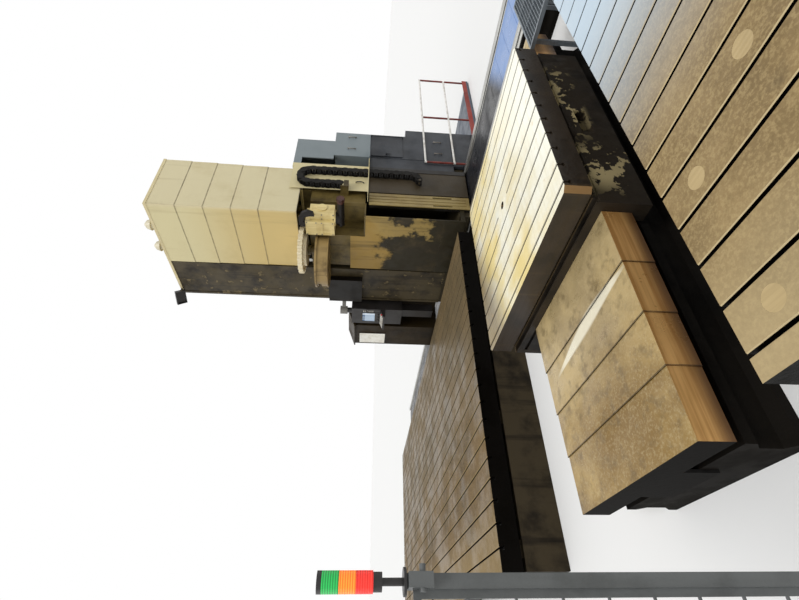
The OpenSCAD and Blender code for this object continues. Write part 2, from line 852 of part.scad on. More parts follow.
// Cream panel behind the cable chain, on its rear post.
module chain_panel() {
    color([0.83, 0.78, 0.65]) {
        block([box_x1 + 5, box_x1 + 10], [panel_y0, panel_y1], [side_z1 + 12, panel_z1]);
        block([box_x1 - 130, box_x1 + 10], [panel_y1, panel_y1 + 110], [tower_z0, panel_z1 + 20]);
        // Shelf along the panel's foot, open where the chain passes.
        difference() {
            block([box_x1 + 5, box_x1 + 200], [panel_y0 - 285, cab_y0 - fit_gap],
                  [side_z1 + 12, side_z1 + 24]);
            block([box_x1 + 12, chain_x0 + chain_w + 20], [panel_y0 - 40, chain_y2 + chain_t / 2 + 15],
                  [side_z1 + 11, side_z1 + 25]);
        }
        block([base_x1, box_x1 + 10], [panel_y1, panel_y1 + 110], [base_z0, tower_z0 + 1]);
        // Grab handle.
        rod_x([box_x1 + 9, panel_y0 + 250, 2530], 8, 36);
        rod_x([box_x1 + 9, panel_y0 + 250, 2620], 8, 36);
        rod_z([box_x1 + 42, panel_y0 + 250, 2522], 8, 106);
    }
}

// The outline of a chain link's side plate, from its own pin up to the next link's pin.
module link_outline(pitch) {
    difference() {
        union() {
            circle(r = link_r);
            polygon([
                [-link_r, 0], [-chain_t / 2, pitch / 4], [-chain_t / 2, pitch * 3 / 4], [-link_r, pitch],
                [link_r, pitch], [chain_t / 2, pitch * 3 / 4], [chain_t / 2, pitch / 4], [link_r, 0]
            ]);
            translate([0, pitch])
                circle(r = link_r);
        }
        translate([0, pitch])
            circle(r = pin_r + fit_gap);
    }
}

// One link: two side plates, its own pin, and two cross bars. Every other link has its plates inside.
module chain_link(inner) {
    inset = inner ? plate_th + fit_gap : 0;
    for (x = [inset, chain_w - inset - plate_th])
        translate([x, 0, 0])
            rotate([90, 0, 90])
                linear_extrude(plate_th)
                    link_outline(chain_pitch);
    for (y = [-chain_t / 2 + 2, chain_t / 2 - 14])
        translate([inset + 1, y, chain_pitch / 2 - 7])
            cube([chain_w - 2 * inset - 2, 12, 14]);
    rod_x([0, 0, 0], pin_r, chain_w);
}

// The chain: short strand up from the headstock, bend, long strand down, and a turn to its anchor.
module cable_chain() {
    color([0.06, 0.06, 0.06]) {
        for (i = [0 : links_short - 1])
            translate([chain_x0, chain_y1, chain_z - (i + 1) * chain_pitch])
                chain_link(i % 2 == 0);
        for (i = [0 : bend_links - 1])
            translate([chain_x0, chain_y1 + chain_r, chain_z])
                rotate([-(i + 0.5) * link_a, 0, 0])
                    translate([0, -chain_r * cos(link_a / 2), -chain_pitch / 2])
                        chain_link(i % 2 == 1);
        for (i = [0 : links_long - 1])
            translate([chain_x0, chain_y2, chain_z - i * chain_pitch])
                rotate([180, 0, 0])
                    chain_link(i % 2 == 1);
        for (i = [0 : turn_links - 1])
            translate([chain_x0, chain_y2 - chain_r, chain_z - links_long * chain_pitch])
                rotate([180 - (i + 0.5) * link_a, 0, 0])
                    translate([0, -chain_r * cos(link_a / 2), -chain_pitch / 2])
                        chain_link((i + links_long) % 2 == 1);
    }
}

module headstock() {
    tunnel_x0 = ram_x - ram_w / 2 - fit_gap;
    tunnel_x1 = ram_x + ram_w / 2 + fit_gap;
    color([0.70, 0.60, 0.40]) {
        difference() {
            union() {
                block([head_x0, head_x1], [head_y0, head_y1], [head_z0, head_z1]);
                block([head_x0, head_x1], [niche_y1 + 300, head_y1], [head_z1 - 1, upper_z0 - 30]);
            }
            // Niche for the head at the front corner.
            block([niche_x0, head_x1 + 1], [head_y0 - 1, niche_y1], [head_z0 - 1, head_z1 + 1]);
            // Tunnel for the ram.
            block([tunnel_x0, tunnel_x1], [niche_y1 - 1, head_y1 + 1],
                  [ram_z - ram_h / 2 - fit_gap, ram_z + ram_h / 2 + fit_gap]);
            // Hollow of the casting's rear left half.
            block([head_x0 + 80, tunnel_x0 - 80], [head_y0 + 500, head_y1 + 1], [head_z0 + 80, head_z1 - 80]);
        }
        // Floor of the niche.
        block([niche_x0, head_x1 + 10], [head_y0, niche_y1], [head_z0 - 20, head_z0 + 5]);
        // Carriages that grip the vertical rails.
        for (y = [vrail_1, vrail_2])
            for (z = [head_z0 + 60, head_z1 - 260])
                difference() {
                    block([tower_x1 + 5, head_x0], [y - 110, y + 110], [z, z + 200]);
                    translate([tower_x1, y, z - 1])
                        linear_extrude(202)
                            rotate(-90)
                                rail_section(fit_gap);
                }
        // Arm that carries the chain's moving end.
        block([head_x1 - 1, chain_x0], [panel_y0 - 24, panel_y0 - 6], [chain_top_z - 90, chain_top_z + 60]);
        block([chain_x0 - 5, chain_x0 + chain_w], [panel_y0 - 24, panel_y0 - 6],
              [chain_top_z - 90, chain_top_z + 60]);
        block([chain_x0 - 5, chain_x0 + chain_w], [panel_y0 - 24, panel_y0 + 150],
              [chain_top_z - 90, chain_top_z - fit_gap]);
        // Shaft and shoulder that carry the tool disc.
        rod_z([disc_x, disc_y, tray_z0 + 200], disc_bore_r, disc_z + disc_t - tray_z0 - 200);
        rod_z([disc_x, disc_y, head_z1 - 10], 95, disc_z - 60 - fit_gap - head_z1 + 10);
        block([disc_x - 60, disc_x + 60], [disc_y, head_y0 + 5], [tray_z0 + 260, head_z1]);
    }
}

module ram() {
    color([0.60, 0.60, 0.57]) {
        block([ram_x - ram_w / 2, ram_x + ram_w / 2], [ram_y0, ram_y0 + ram_len],
              [ram_z - ram_h / 2, ram_z + ram_h / 2]);
        block([ram_x - ram_w / 2 - 15, ram_x + ram_w / 2 + 15], [ram_y0, ram_y0 + 40],
              [ram_z - ram_h / 2 - 15, ram_z + ram_h / 2 + 15]);
    }
}

// The milling head: two housings side by side, bolted to the ram's flange.
module milling_head() {
    color([0.84, 0.80, 0.66]) {
        difference() {
            block([niche_x0 + 60, nose_x + 40], [col_y0 - 60, ram_y0], [2970, head_z1 + 55]);
            block([niche_x0 + 100, nose_x], [col_y0 - 61, col_y0 - 50], [3020, 3180]);
        }
        block([nose_x + 39, nose_x + 180], [col_y0 + 10, pillar_y0 - 25], [2970, head_z1 - 20]);
        rod_x([nose_x + 179, nose_y + 50, 3200], 90, 22);
        // Round turret under the housings.
        rod_z([nose_x, nose_y, 2950], 150, 20);
    }
}

// Dark hooked arm on top of the head, beside the tool disc.
module changer_arm() {
    color([0.13, 0.13, 0.13])
        translate([nose_x, col_y0 - 15, head_z1])
            rotate([90, 0, 0])
                linear_extrude(60)
                    polygon([
                        [-70, 55], [-70, 120], [-10, 165], [150, 165], [250, 100], [300, 0], [260, -100],
                        [185, -120], [185, -40], [150, 60], [30, 90], [30, 55]
                    ]);
}

// Spindle housing that swivels under the head.
module head_nose() {
    color([0.12, 0.11, 0.11])
        difference() {
            union() {
                rod_z([nose_x, nose_y, nose_z], 110, 2950 - fit_gap - nose_z);
                rod_x([nose_x - 150, nose_y, nose_z], nose_r, 520);
                rod_x([nose_x - 170, nose_y, nose_z], nose_r - 15, 20);
            }
            rod_x([nose_x + 40, nose_y, nose_z], spindle_r + 0.05, 340);
        }
}

module spindle() {
    color([0.45, 0.16, 0.11]) {
        difference() {
            union() {
                rod_x([nose_x + 40 + fit_gap, nose_y, nose_z], spindle_r, 350);
                rod_x([nose_x + 370 + fit_gap, nose_y, nose_z], spindle_r + 22, 40);
                rod_x([nose_x + 410 + fit_gap, nose_y, nose_z], spindle_r + 35, 60);
            }
            for (i = [0 : 7])
                translate([nose_x + 425, nose_y, nose_z])
                    rotate([i * 45, 0, 0])
                        translate([0, 0, spindle_r + 22])
                            cube([60, 22, 30]);
        }
    }
}

// Scalloped tool disc with a smaller ring below it.
module tool_disc() {
    color([0.86, 0.83, 0.74])
        difference() {
            union() {
                rod_z([disc_x, disc_y, disc_z], disc_r, disc_t);
                rod_z([disc_x, disc_y, disc_z - 60], disc_r - 150, 61);
            }
            translate([disc_x, disc_y, disc_z - 61])
                cylinder(r = disc_bore_r + 0.05, h = disc_t + 62);
            for (i = [0 : pockets - 1])
                translate([disc_x, disc_y, disc_z - 1])
                    rotate(i * 360 / pockets)
                        translate([disc_r, 0, 0])
                            cylinder(r = pocket_r, h = disc_t + 2);
        }
}

// Round-ended tray under the disc, against the headstock's front, with a recess at its left.
module magazine_tray() {
    color([0.62, 0.52, 0.34])
        difference() {
            union() {
                rod_z([tray_x, disc_y, tray_z0 + 215], tray_r, 35);
                rod_z([tray_x, disc_y, tray_z0], tray_r - 25, 216);
                rod_z([tray_x, disc_y, tray_z0], tray_r - 5, 20);
            }
            block([tray_x - tray_r - 1, tray_x + tray_r + 1], [head_y0, head_y0 + tray_r + 1],
                  [tray_z0 - 1, tray_z0 + 300]);
            // Cut back in front of the tower and of the cover sheet.
            block([tray_x - tray_r - 1, head_x0], [col_y0 - 5, head_y0 + 1], [tray_z0 - 1, tray_z0 + 300]);
            block([tray_x - tray_r - 1, tray_x - 160], [disc_y - tray_r - 1, disc_y - 60],
                  [tray_z0 + 130, tray_z0 + 190]);
            translate([disc_x, disc_y, tray_z0 + 195])
                cylinder(r = 62, h = 100);
            block([disc_x - 62, disc_x + 62], [disc_y, head_y0 + 1], [tray_z0 + 195, tray_z0 + 300]);
        }
}

// Cabinets on the rear of the column, one above another and stepped.
cab_x0 = tower_x1 + 50;
cab_y0 = panel_y1 + 125;

door_y0 = cab_y0 + 360;
door_w = 700;
door_z0 = cab_low_z1 + 80;
hinge_r = 12;
cab_wall = 20;

module cab_stack(w, open) {
    block([cab_x0 + w, box_x1 - w], [cab_y0 + w, cab_y0 + cab_top_d - w],
          [cab_top_z0 - open, cab_top_z1 - w]);
    block([cab_x0 + w, box_x1 - w], [cab_y0 + 320 + w, cab_y0 + cab_mid_d - w],
          [cab_low_z1 - open, cab_top_z0 - w]);
    block([cab_x0 + w, box_x1 - w], [cab_y0 + 320 + w, cab_y0 + cab_low_d - w],
          [platform_z - open, cab_low_z1 - w]);
}

module rear_cabinets() {
    color([0.45, 0.52, 0.62]) {
        difference() {
            cab_stack(0, 0);
            cab_stack(cab_wall, cab_wall + 1);
            // Open mouth at the front of the upper cabinet.
            block([box_x1 - 400, box_x1 + 1], [cab_y0 - 1, cab_y0 + 200], [cab_top_z0 - 1, cab_top_z1 - 150]);
            // Doorway.
            block([box_x1 - cab_wall - 1, box_x1 + 1], [door_y0 + 30, door_y0 + door_w - 40],
                  [door_z0 + 30, side_z1 - 50]);
        }
        // Dark panels in the bay between the post and the cabinets.
        block([box_x1 - 70, box_x1 - 6], [cab_y0, cab_y0 + 320], [tower_z0 + 5, side_z1 + 20]);
        block([base_x1 + 10, box_x1 - 6], [tower_y1 + 10, cab_y0 + 320], [platform_z, tower_z0 + 5]);
        // Thin shelf plate at eye level.
        block([box_x1 - 6, box_x1 + 250], [cab_y0, cab_y0 + 520], [side_z1, side_z1 + 25]);
        // Hinge brackets above and below the door, with pins into its barrel.
        for (z = [door_z0 - 20, side_z1 - 20 + fit_gap])
            block([box_x1 - 1, box_x1 + 20 + hinge_r],
                  [door_y0 + door_w - hinge_r, door_y0 + door_w + hinge_r], [z, z + 20 - fit_gap]);
    }
}

module cabinet_door() {
    color([0.47, 0.54, 0.64]) {
        block([box_x1 + fit_gap, box_x1 + 20], [door_y0, door_y0 + door_w], [door_z0, side_z1 - 20]);
        rod_z([box_x1 + 20, door_y0 + door_w, door_z0], hinge_r, side_z1 - 20 - door_z0);
        rod_x([box_x1 + 19, door_y0 + 60, door_z0 + 330], 14, 30);
        block([box_x1 + 40, box_x1 + 52], [door_y0 + 46, door_y0 + 74], [door_z0 + 250, door_z0 + 350]);
    }
}

module rear_platform() {
    y1 = platform_y0 + platform_len;
    color([0.34, 0.40, 0.48]) {
        block([platform_x0, platform_x1], [tower_y1 + fit_gap, y1], [platform_z - 40, platform_z]);
        // Kick boards along both open edges.
        block([platform_x1 - 10, platform_x1], [tower_y1 + fit_gap, y1], [platform_z - 40, platform_z + 105]);
        block([platform_x0, platform_x0 + 10], [cab_y0 + cab_low_d + 15, y1],
              [platform_z - 40, platform_z + 105]);
        // Brackets up to the column base.
        for (x = [platform_x0 + 40, base_x1 - 200])
            translate([x, 0, 0])
                along_x(0, 30)
                    polygon([
                        [tower_y1, platform_z - 40], [tower_y1 + 120, platform_z - 40],
                        [tower_y1 + 120, platform_z], [tower_y1 + 20, tower_z0],
                        [tower_y1, tower_z0]
                    ]);
    }
}

// Handrail: posts, a top rail and a middle rail, on both long sides of the platform.
module rail_run(x, y0, y1) {
    for (i = [0 : 2])
        rod_z([x, y0 + i * (y1 - y0) / 2, platform_z], rail_r, rail_up);
    for (z = [platform_z + rail_up - rail_r, platform_z + rail_up * 0.48])
        rod_y([x, y0, z], rail_r, y1 - y0);
}

module handrail() {
    y1 = platform_y0 + platform_len;
    color([0.75, 0.74, 0.72]) {
        rail_run(platform_x1 - 11 - rail_r, tower_y1 + 40 + rail_r, y1 - 60);
        rail_run(platform_x0 + 10 + rail_r + 1, cab_y0 + cab_low_d + 65, y1 - 60);
    }
}

// Tall cabinet left of the column, with a sloping roof plate.
cons_y0 = col_y0 - 200;
opcab_x0 = col_x0 - 720 - opcab_w;

module operator_cabinet() {
    color([0.26, 0.21, 0.16]) {
        difference() {
            block([opcab_x0, opcab_x0 + opcab_w], [cons_y0, cons_y0 + 700], [tower_z0, opcab_z1]);
            block([opcab_x0 + cab_wall, opcab_x0 + opcab_w - cab_wall],
                  [cons_y0 + cab_wall, cons_y0 + 700 - cab_wall], [tower_z0 - 1, opcab_z1 - cab_wall]);
        }
        // Trunk that carries it on the tower.
        block([opcab_x0 + opcab_w - 1, col_x0], [col_y0 + 240, col_y0 + 300],
              [tower_z0 + 60, opcab_z1 - 150]);
        // Sloping roof, higher at the back.
        along_x(opcab_x0, opcab_x0 + opcab_w + 40)
            polygon([
                [cons_y0 - 60, opcab_z1], [cons_y0 + 420, opcab_z1], [cons_y0 + 420, opcab_z1 + 180],
                [cons_y0 + 380, opcab_z1 + 180], [cons_y0 - 60, opcab_z1 + 25]
            ]);
        // Sheet panel on the front.
        block([opcab_x0 + 40, opcab_x0 + opcab_w - 290], [cons_y0 - 12, cons_y0],
              [opcab_z1 - 720, opcab_z1 - 80]);
    }
}

boom_x = col_x0 - 330;
boom_y = col_y0 - 60;
boom_z = 2800;
pivot_x = col_x0 - 90;
pivot_y = col_y0 + 160;
pivot_r = 30;

module console_boom() {
    color([0.42, 0.41, 0.39])
        difference() {
            union() {
                rod_z([pivot_x, pivot_y, boom_z - 30], 60, 100);
                translate([pivot_x, pivot_y, boom_z - 20])
                    rotate(atan2(boom_y - pivot_y, boom_x - pivot_x))
                        translate([0, -50, 0])
                            cube([norm([boom_y - pivot_y, boom_x - pivot_x]), 100, 80]);
                rod_z([boom_x, boom_y, boom_z - 60], 90, 160);
            }
            rod_z([pivot_x, pivot_y, boom_z - 31], pivot_r + 0.05, 102);
        }
}

module console() {
    color([0.09, 0.08, 0.08]) {
        difference() {
            union() {
                block([boom_x - console_w / 2 - 10, boom_x + console_w / 2 - 10],
                      [boom_y - 150, boom_y + 170], [console_z1 - 1120, console_z1]);
                // Keyboard ledge.
                translate([0, 0, 0])
                    along_x(boom_x - console_w / 2 + 10, boom_x + console_w / 2 - 30)
                        polygon([
                            [boom_y - 149, 1900], [boom_y - 149, 2010],
                            [boom_y - 330, 1940], [boom_y - 330, 1905]
                        ]);
                block([boom_x - 90, boom_x + 150], [boom_y - 60, boom_y + 120],
                      [tower_z0 + 170, console_z1 - 1119]);
            }
            // Recess of the screen.
            block([boom_x - 200, boom_x + 120], [boom_y - 151, boom_y - 140],
                  [console_z1 - 520, console_z1 - 240]);
            // Bore of the emergency stop.
            estop_place()
                translate([0, 0, -20])
                    cylinder(r = 12.05, h = 40);
        }
        rod_z([boom_x, boom_y, console_z1 - 1], 60, boom_z - 60 - fit_gap - console_z1 + 1);
        // Bright side handle.
        rod_z([boom_x + 190, boom_y - 200, 1990], 12, 320);
        rod_y([boom_x + 190, boom_y - 200, 2000], 10, 60);
        rod_y([boom_x + 190, boom_y - 200, 2300], 10, 60);
    }
}

// Rows of keys on the sloping ledge.
key_slope = atan((2010 - 1940) / 181);

module console_keys() {
    color([0.75, 0.74, 0.70])
        translate([boom_x - 220, boom_y - 330, 1940])
            rotate([key_slope, 0, 0])
                for (r = [0 : 3])
                    for (c = [0 : 10])
                        translate([c * 36, 18 + r * 36, 0])
                            cube([26, 26, 7]);
}

module estop_place() {
    translate([boom_x + 205, boom_y - 250, 1940 + 80 * tan(key_slope)])
        rotate([key_slope, 0, 0])
            children();
}

module estop_button() {
    color([0.75, 0.10, 0.07])
        estop_place() {
            translate([0, 0, -12])
                cylinder(r = 12, h = 20);
            translate([0, 0, 5])
                cylinder(r1 = 22, r2 = 19, h = 16);
        }
}

// Guard fence: a post with a framed mesh panel and a latch.
mesh_w = 900;
mesh_cols = 7;
mesh_rows = 14;
mesh_z0 = 180;
mesh_z1 = post_h - 20;

module guard_fence() {
    y0 = post_y - post_w / 2 - mesh_w;
    y1 = post_y - post_w / 2;
    color([0.30, 0.31, 0.30]) {
        for (y = [post_y - post_w / 2, post_y - post_w * 1.5 - mesh_w])
            block([post_x - post_w / 2, post_x + post_w / 2], [y, y + post_w], [0, post_h]);
        for (y = [post_y, post_y - mesh_w - post_w])
            block([post_x - 90, post_x + 90], [y - 90, y + 90], [0, 12]);
        along_x(post_x - 5, post_x + 5)
            difference() {
                translate([y0, mesh_z0])
                    square([mesh_w, mesh_z1 - mesh_z0]);
                for (i = [0 : mesh_cols - 1])
                    for (j = [0 : mesh_rows - 1])
                        let (cw = (mesh_w - 40) / mesh_cols, ch = (mesh_z1 - mesh_z0 - 40) / mesh_rows)
                            translate([y0 + 20 + i * cw + 3, mesh_z0 + 20 + j * ch + 3])
                                square([cw - 6, ch - 6]);
            }
        // Hooked latch bracket on the post, with its bolt.
        translate([post_x + post_w / 2, post_y + 20, post_h])
            rotate([90, 0, 0])
                linear_extrude(40)
                    polygon([
                        [-1, -4], [38, -4], [38, -74], [12, -74], [12, -62], [27, -62], [27, -16], [-1, -16]
                    ]);
        rod_y([post_x + post_w / 2 + 24, post_y - 30, post_h - 44], 9, 70);
    }
}

lamp_z = post_h + 96;

module signal_tower() {
    color([0.08, 0.08, 0.08]) {
        rod_z([post_x, post_y, post_h], lamp_r + 8, 8);
        rod_z([post_x, post_y, post_h + 7], 11, 64);
        rod_z([post_x, post_y, post_h + 70], lamp_r - 4, 26);
        rod_z([post_x, post_y, lamp_z + 3 * lamp_h], lamp_r, 14);
    }
}

module signal_red() {
    color([0.90, 0.12, 0.08])
        rod_z([post_x, post_y, lamp_z], lamp_r, lamp_h);
}

module signal_amber() {
    color([0.95, 0.40, 0.05])
        rod_z([post_x, post_y, lamp_z + lamp_h], lamp_r, lamp_h);
}

module signal_green() {
    color([0.05, 0.55, 0.20])
        rod_z([post_x, post_y, lamp_z + 2 * lamp_h], lamp_r, lamp_h);
}

// Grating that bridges the gap between the table bed and the right field.
grate_x0 = bed_x1 + 120;
grate_y0 = table_w / 2 + 225;

module walkway_grating() {
    cell_x = (right_x0 - fit_gap - grate_x0 - 40) / 12;
    cell_y = (plate_y1 - grate_y0 - 40) / 3;
    color([0.45, 0.47, 0.50]) {
        translate([0, 0, plate_top - 40])
            linear_extrude(40)
                difference() {
                    translate([grate_x0, grate_y0])
                        square([right_x0 - fit_gap - grate_x0, plate_y1 - grate_y0]);
                    for (i = [0 : 11])
                        for (j = [0 : 2])
                            translate([grate_x0 + 20 + i * cell_x + 3, grate_y0 + 20 + j * cell_y + 3])
                                square([cell_x - 6, cell_y - 6]);
                }
        for (x = [grate_x0 + 40, right_x0 - 120])
            for (y = [grate_y0 + 40, plate_y1 - 80])
                block([x, x + 40], [y, y + 40], [0, plate_top - 39]);
    }
}

left_floor_plates();
right_floor_plates();
plate_plugs();
plate_supports();
machine_beds();
way_rails();
saddle();
table_bearing();
rotary_table();
end_covers();
saddle_covers();
front_cover_2();
front_cover_3();
rear_cover_2();
rear_cover_3();
x_way_band();
column_base();
column_tower();
front_guard();
top_cap();
vertical_rails();
top_vents();
floodlight();
upper_cover_1();
upper_cover_2();
upper_cover_3();
upper_cover_4();
upper_cover_5();
lower_cover_a();
lower_cover_b();
lower_cover_c();
way_pillar();
side_cover();
chain_panel();
cable_chain();
headstock();
ram();
milling_head();
changer_arm();
head_nose();
spindle();
tool_disc();
magazine_tray();
rear_cabinets();
cabinet_door();
rear_platform();
handrail();
operator_cabinet();
console_boom();
console();
console_keys();
estop_button();
guard_fence();
signal_tower();
signal_green();
signal_amber();
signal_red();
walkway_grating();
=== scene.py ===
# %% [markdown]
# # A travelling-column milling machine, dressed for the camera
# The metal parts come in as a fixed frame. This notebook gives each of them a finish, and adds the
# small pieces that a machine like this carries: wipers, bolts, a screen, knobs and handles.

# %% Load the frame
import json
import math
import bmesh
import bpy
from mathutils import Matrix, Vector

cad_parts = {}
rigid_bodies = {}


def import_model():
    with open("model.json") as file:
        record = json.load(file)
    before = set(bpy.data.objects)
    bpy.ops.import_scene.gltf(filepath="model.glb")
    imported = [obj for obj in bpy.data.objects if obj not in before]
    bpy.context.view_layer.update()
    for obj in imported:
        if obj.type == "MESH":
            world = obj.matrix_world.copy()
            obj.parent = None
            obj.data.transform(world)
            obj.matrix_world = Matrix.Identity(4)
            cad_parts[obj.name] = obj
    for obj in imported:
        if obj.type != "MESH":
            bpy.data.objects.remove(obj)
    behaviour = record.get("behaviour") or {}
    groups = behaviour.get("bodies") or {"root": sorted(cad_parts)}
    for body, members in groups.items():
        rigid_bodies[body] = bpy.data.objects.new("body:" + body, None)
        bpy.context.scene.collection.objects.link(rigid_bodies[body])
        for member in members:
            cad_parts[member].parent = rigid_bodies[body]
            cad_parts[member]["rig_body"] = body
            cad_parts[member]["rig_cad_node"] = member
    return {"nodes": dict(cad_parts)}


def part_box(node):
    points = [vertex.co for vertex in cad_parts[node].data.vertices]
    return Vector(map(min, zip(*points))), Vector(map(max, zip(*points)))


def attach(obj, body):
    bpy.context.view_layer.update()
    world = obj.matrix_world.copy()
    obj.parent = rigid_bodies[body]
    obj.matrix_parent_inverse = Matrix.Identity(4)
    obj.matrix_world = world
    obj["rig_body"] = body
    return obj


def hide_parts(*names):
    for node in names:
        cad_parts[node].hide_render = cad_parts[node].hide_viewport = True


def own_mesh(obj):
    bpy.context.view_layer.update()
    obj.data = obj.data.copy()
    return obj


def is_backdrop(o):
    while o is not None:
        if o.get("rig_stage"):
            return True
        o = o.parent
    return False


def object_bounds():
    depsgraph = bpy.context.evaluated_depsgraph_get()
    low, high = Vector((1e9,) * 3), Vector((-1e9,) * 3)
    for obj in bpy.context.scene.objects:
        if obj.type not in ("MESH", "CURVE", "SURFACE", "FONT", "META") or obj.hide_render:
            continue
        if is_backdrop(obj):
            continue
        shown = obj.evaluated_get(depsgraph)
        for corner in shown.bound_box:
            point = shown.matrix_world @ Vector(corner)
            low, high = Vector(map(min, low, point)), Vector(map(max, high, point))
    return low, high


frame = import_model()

scene = bpy.context.scene
nodes = frame["nodes"]
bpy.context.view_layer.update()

# %% [markdown]
# ## Camera
# The photograph was taken with the camera turned on its side, so the machine's up points to the left
# of the picture. A camera has three axes of its own: it looks along its minus Z, its X points right in
# the picture and its Y points up in the picture. Building those three from the viewing angle is
# clearer than stacking three rotations.

# %% Place the camera
camera_place = (3.025, -3.625, 2.35)
camera_azimuth = math.radians(52.0)
camera_pitch = math.radians(-4.2)
camera_roll = math.radians(2.24)
lens_mm = 21.0


def camera_axes(azimuth, pitch, roll):
    ahead = math.cos(pitch)
    look = Vector((-math.sin(azimuth) * ahead, math.cos(azimuth) * ahead, math.sin(pitch)))
    level = Vector((math.cos(azimuth), math.sin(azimuth), 0))
    above = level.cross(look)
    right = level * math.cos(roll) + above * math.sin(roll)
    up = above * math.cos(roll) - level * math.sin(roll)
    return right, up, look


right, up, look = camera_axes(camera_azimuth, camera_pitch, camera_roll)
camera = bpy.data.objects.new("camera", bpy.data.cameras.new("camera"))
scene.collection.objects.link(camera)
camera.data.lens = lens_mm
camera.data.clip_start = 0.05
camera.data.clip_end = 200
# The machine's up is the picture's left, so minus up is the camera's own X axis.
turned = Matrix((-up, right, -look)).transposed().to_4x4()
camera.matrix_world = Matrix.Translation(camera_place) @ turned
scene.camera = camera
print("camera at", tuple(round(v, 3) for v in camera.location), "lens", camera.data.lens)

# %% [markdown]
# ## Light
# A hall like this is lit from above and from one side. A broad sun from above gives the boxes their
# shading, a weaker one fills them from the front, and the white world fills the shadows. Light Path
# tells apart the rays that the camera and glossy surfaces see, which find pure white, from those that
# light the object, which find less.

# %% World
world_light, world_seen = 0.62, 1.0
world = bpy.data.worlds.new("hall")
scene.world = world
world.use_nodes = True
sky = world.node_tree
background = sky.nodes["Background"]
path = sky.nodes.new("ShaderNodeLightPath")
seen = sky.nodes.new("ShaderNodeMath")
seen.operation = "MAXIMUM"
both = sky.nodes.new("ShaderNodeMath")
both.operation = "MAXIMUM"
sky.links.new(path.outputs["Is Camera Ray"], seen.inputs[0])
sky.links.new(path.outputs["Is Glossy Ray"], seen.inputs[1])
sky.links.new(seen.outputs[0], both.inputs[0])
sky.links.new(path.outputs["Is Transmission Ray"], both.inputs[1])
strength = sky.nodes.new("ShaderNodeMapRange")
strength.inputs["To Min"].default_value = world_light
strength.inputs["To Max"].default_value = world_seen
sky.links.new(both.outputs[0], strength.inputs["Value"])
background.inputs["Color"].default_value = (1, 1, 1, 1)
sky.links.new(strength.outputs["Result"], background.inputs["Strength"])
print("world strength:", world_light, "for light and", world_seen, "where it is seen")


# %% Lamps
def sun(name, direction, energy, softness):
    lamp = bpy.data.objects.new(name, bpy.data.lights.new(name, "SUN"))
    lamp.data.energy = energy
    lamp.data.angle = math.radians(softness)
    lamp.rotation_mode = "QUATERNION"
    lamp.rotation_quaternion = Vector(direction).to_track_quat("-Z", "Y")
    scene.collection.objects.link(lamp)


sun("roof_light", direction=(-0.55, 0.30, -1.0), energy=1.7, softness=25)
sun("side_fill", direction=(0.2, 1.0, -0.25), energy=0.55, softness=60)
scene.view_settings.view_transform = "Standard"


# %% [markdown]
# ## Helpers for finishes
# Every finish starts from a Principled shader. A few short helpers add noise, ranges and mixes, so
# that each material below reads as a list of what is on the metal.

# %% Node helpers
def rgb(code):
    """A six-digit screen colour as the linear colour that a shader wants."""
    parts = [int(code[i:i + 2], 16) / 255 for i in (0, 2, 4)]
    return tuple(p / 12.92 if p <= 0.04045 else ((p + 0.055) / 1.055) ** 2.4 for p in parts) + (1,)


def material(name, roughness=0.6, metallic=0.0, **sockets):
    m = bpy.data.materials.new(name)
    m.use_nodes = True
    shader = m.node_tree.nodes["Principled BSDF"]
    shader.inputs["Roughness"].default_value = roughness
    shader.inputs["Metallic"].default_value = metallic
    for socket, value in sockets.items():
        shader.inputs[socket.replace("_", " ")].default_value = value
    return m, m.node_tree, shader


def place(tree):
    spot = tree.nodes.get("place") or tree.nodes.new("ShaderNodeTexCoord")
    spot.name = "place"
    return spot.outputs["Object"]


def facing(tree):
    spot = place(tree).node
    return axes(tree, spot.outputs["Normal"])


def axes(tree, vector):
    split = tree.nodes.new("ShaderNodeSeparateXYZ")
    tree.links.new(vector, split.inputs[0])
    return split.outputs


def math_node(tree, operation, a, b=0.0):
    n = tree.nodes.new("ShaderNodeMath")
    n.operation = operation
    for socket, value in zip(n.inputs, (a, b)):
        if isinstance(value, (int, float)):
            socket.default_value = value
        else:
            tree.links.new(value, socket)
    return n.outputs[0]


def times(tree, a, b):
    return math_node(tree, "MULTIPLY", a, b)


def plus(tree, a, b):
    return math_node(tree, "ADD", a, b)


def minus(tree, a, b):
    return math_node(tree, "SUBTRACT", a, b)


def gap(tree, a, b):
    return math_node(tree, "ABSOLUTE", minus(tree, a, b))


def span(tree, value, low, high, out_low=0.0, out_high=1.0):
    """Turns value from low to high into out_low to out_high, with soft ends."""
    n = tree.nodes.new("ShaderNodeMapRange")
    n.interpolation_type = "SMOOTHSTEP"
    for name, v in (("From Min", low), ("From Max", high), ("To Min", out_low), ("To Max", out_high)):
        n.inputs[name].default_value = v
    tree.links.new(value, n.inputs["Value"])
    return n.outputs["Result"]


def soft_box(tree, value, low, high, soft):
    """One between low and high, zero outside, with edges as wide as twice soft."""
    above = span(tree, value, low - soft, low + soft)
    return times(tree, above, span(tree, value, high + soft, high - soft))


def mix(tree, amount, a, b):
    n = tree.nodes.new("ShaderNodeMix")
    n.data_type = "RGBA"
    sockets = [s for s in n.inputs if s.enabled]
    for socket, value in zip(sockets, (amount, a, b)):
        if isinstance(value, (int, float, tuple)):
            socket.default_value = value
        else:
            tree.links.new(value, socket)
    return [s for s in n.outputs if s.enabled][0]


def coat(tree, color, mask, strength, code):
    """Lays a second colour over a first, as thick as the mask and the strength say."""
    return mix(tree, times(tree, mask, strength), color, rgb(code))


# %% [markdown]
# ## Shared effects
# Stains, runs and fine grain turn up on nearly every surface, so each is a node group, made once.
# A group has its own inputs, and each material places it with its own values.

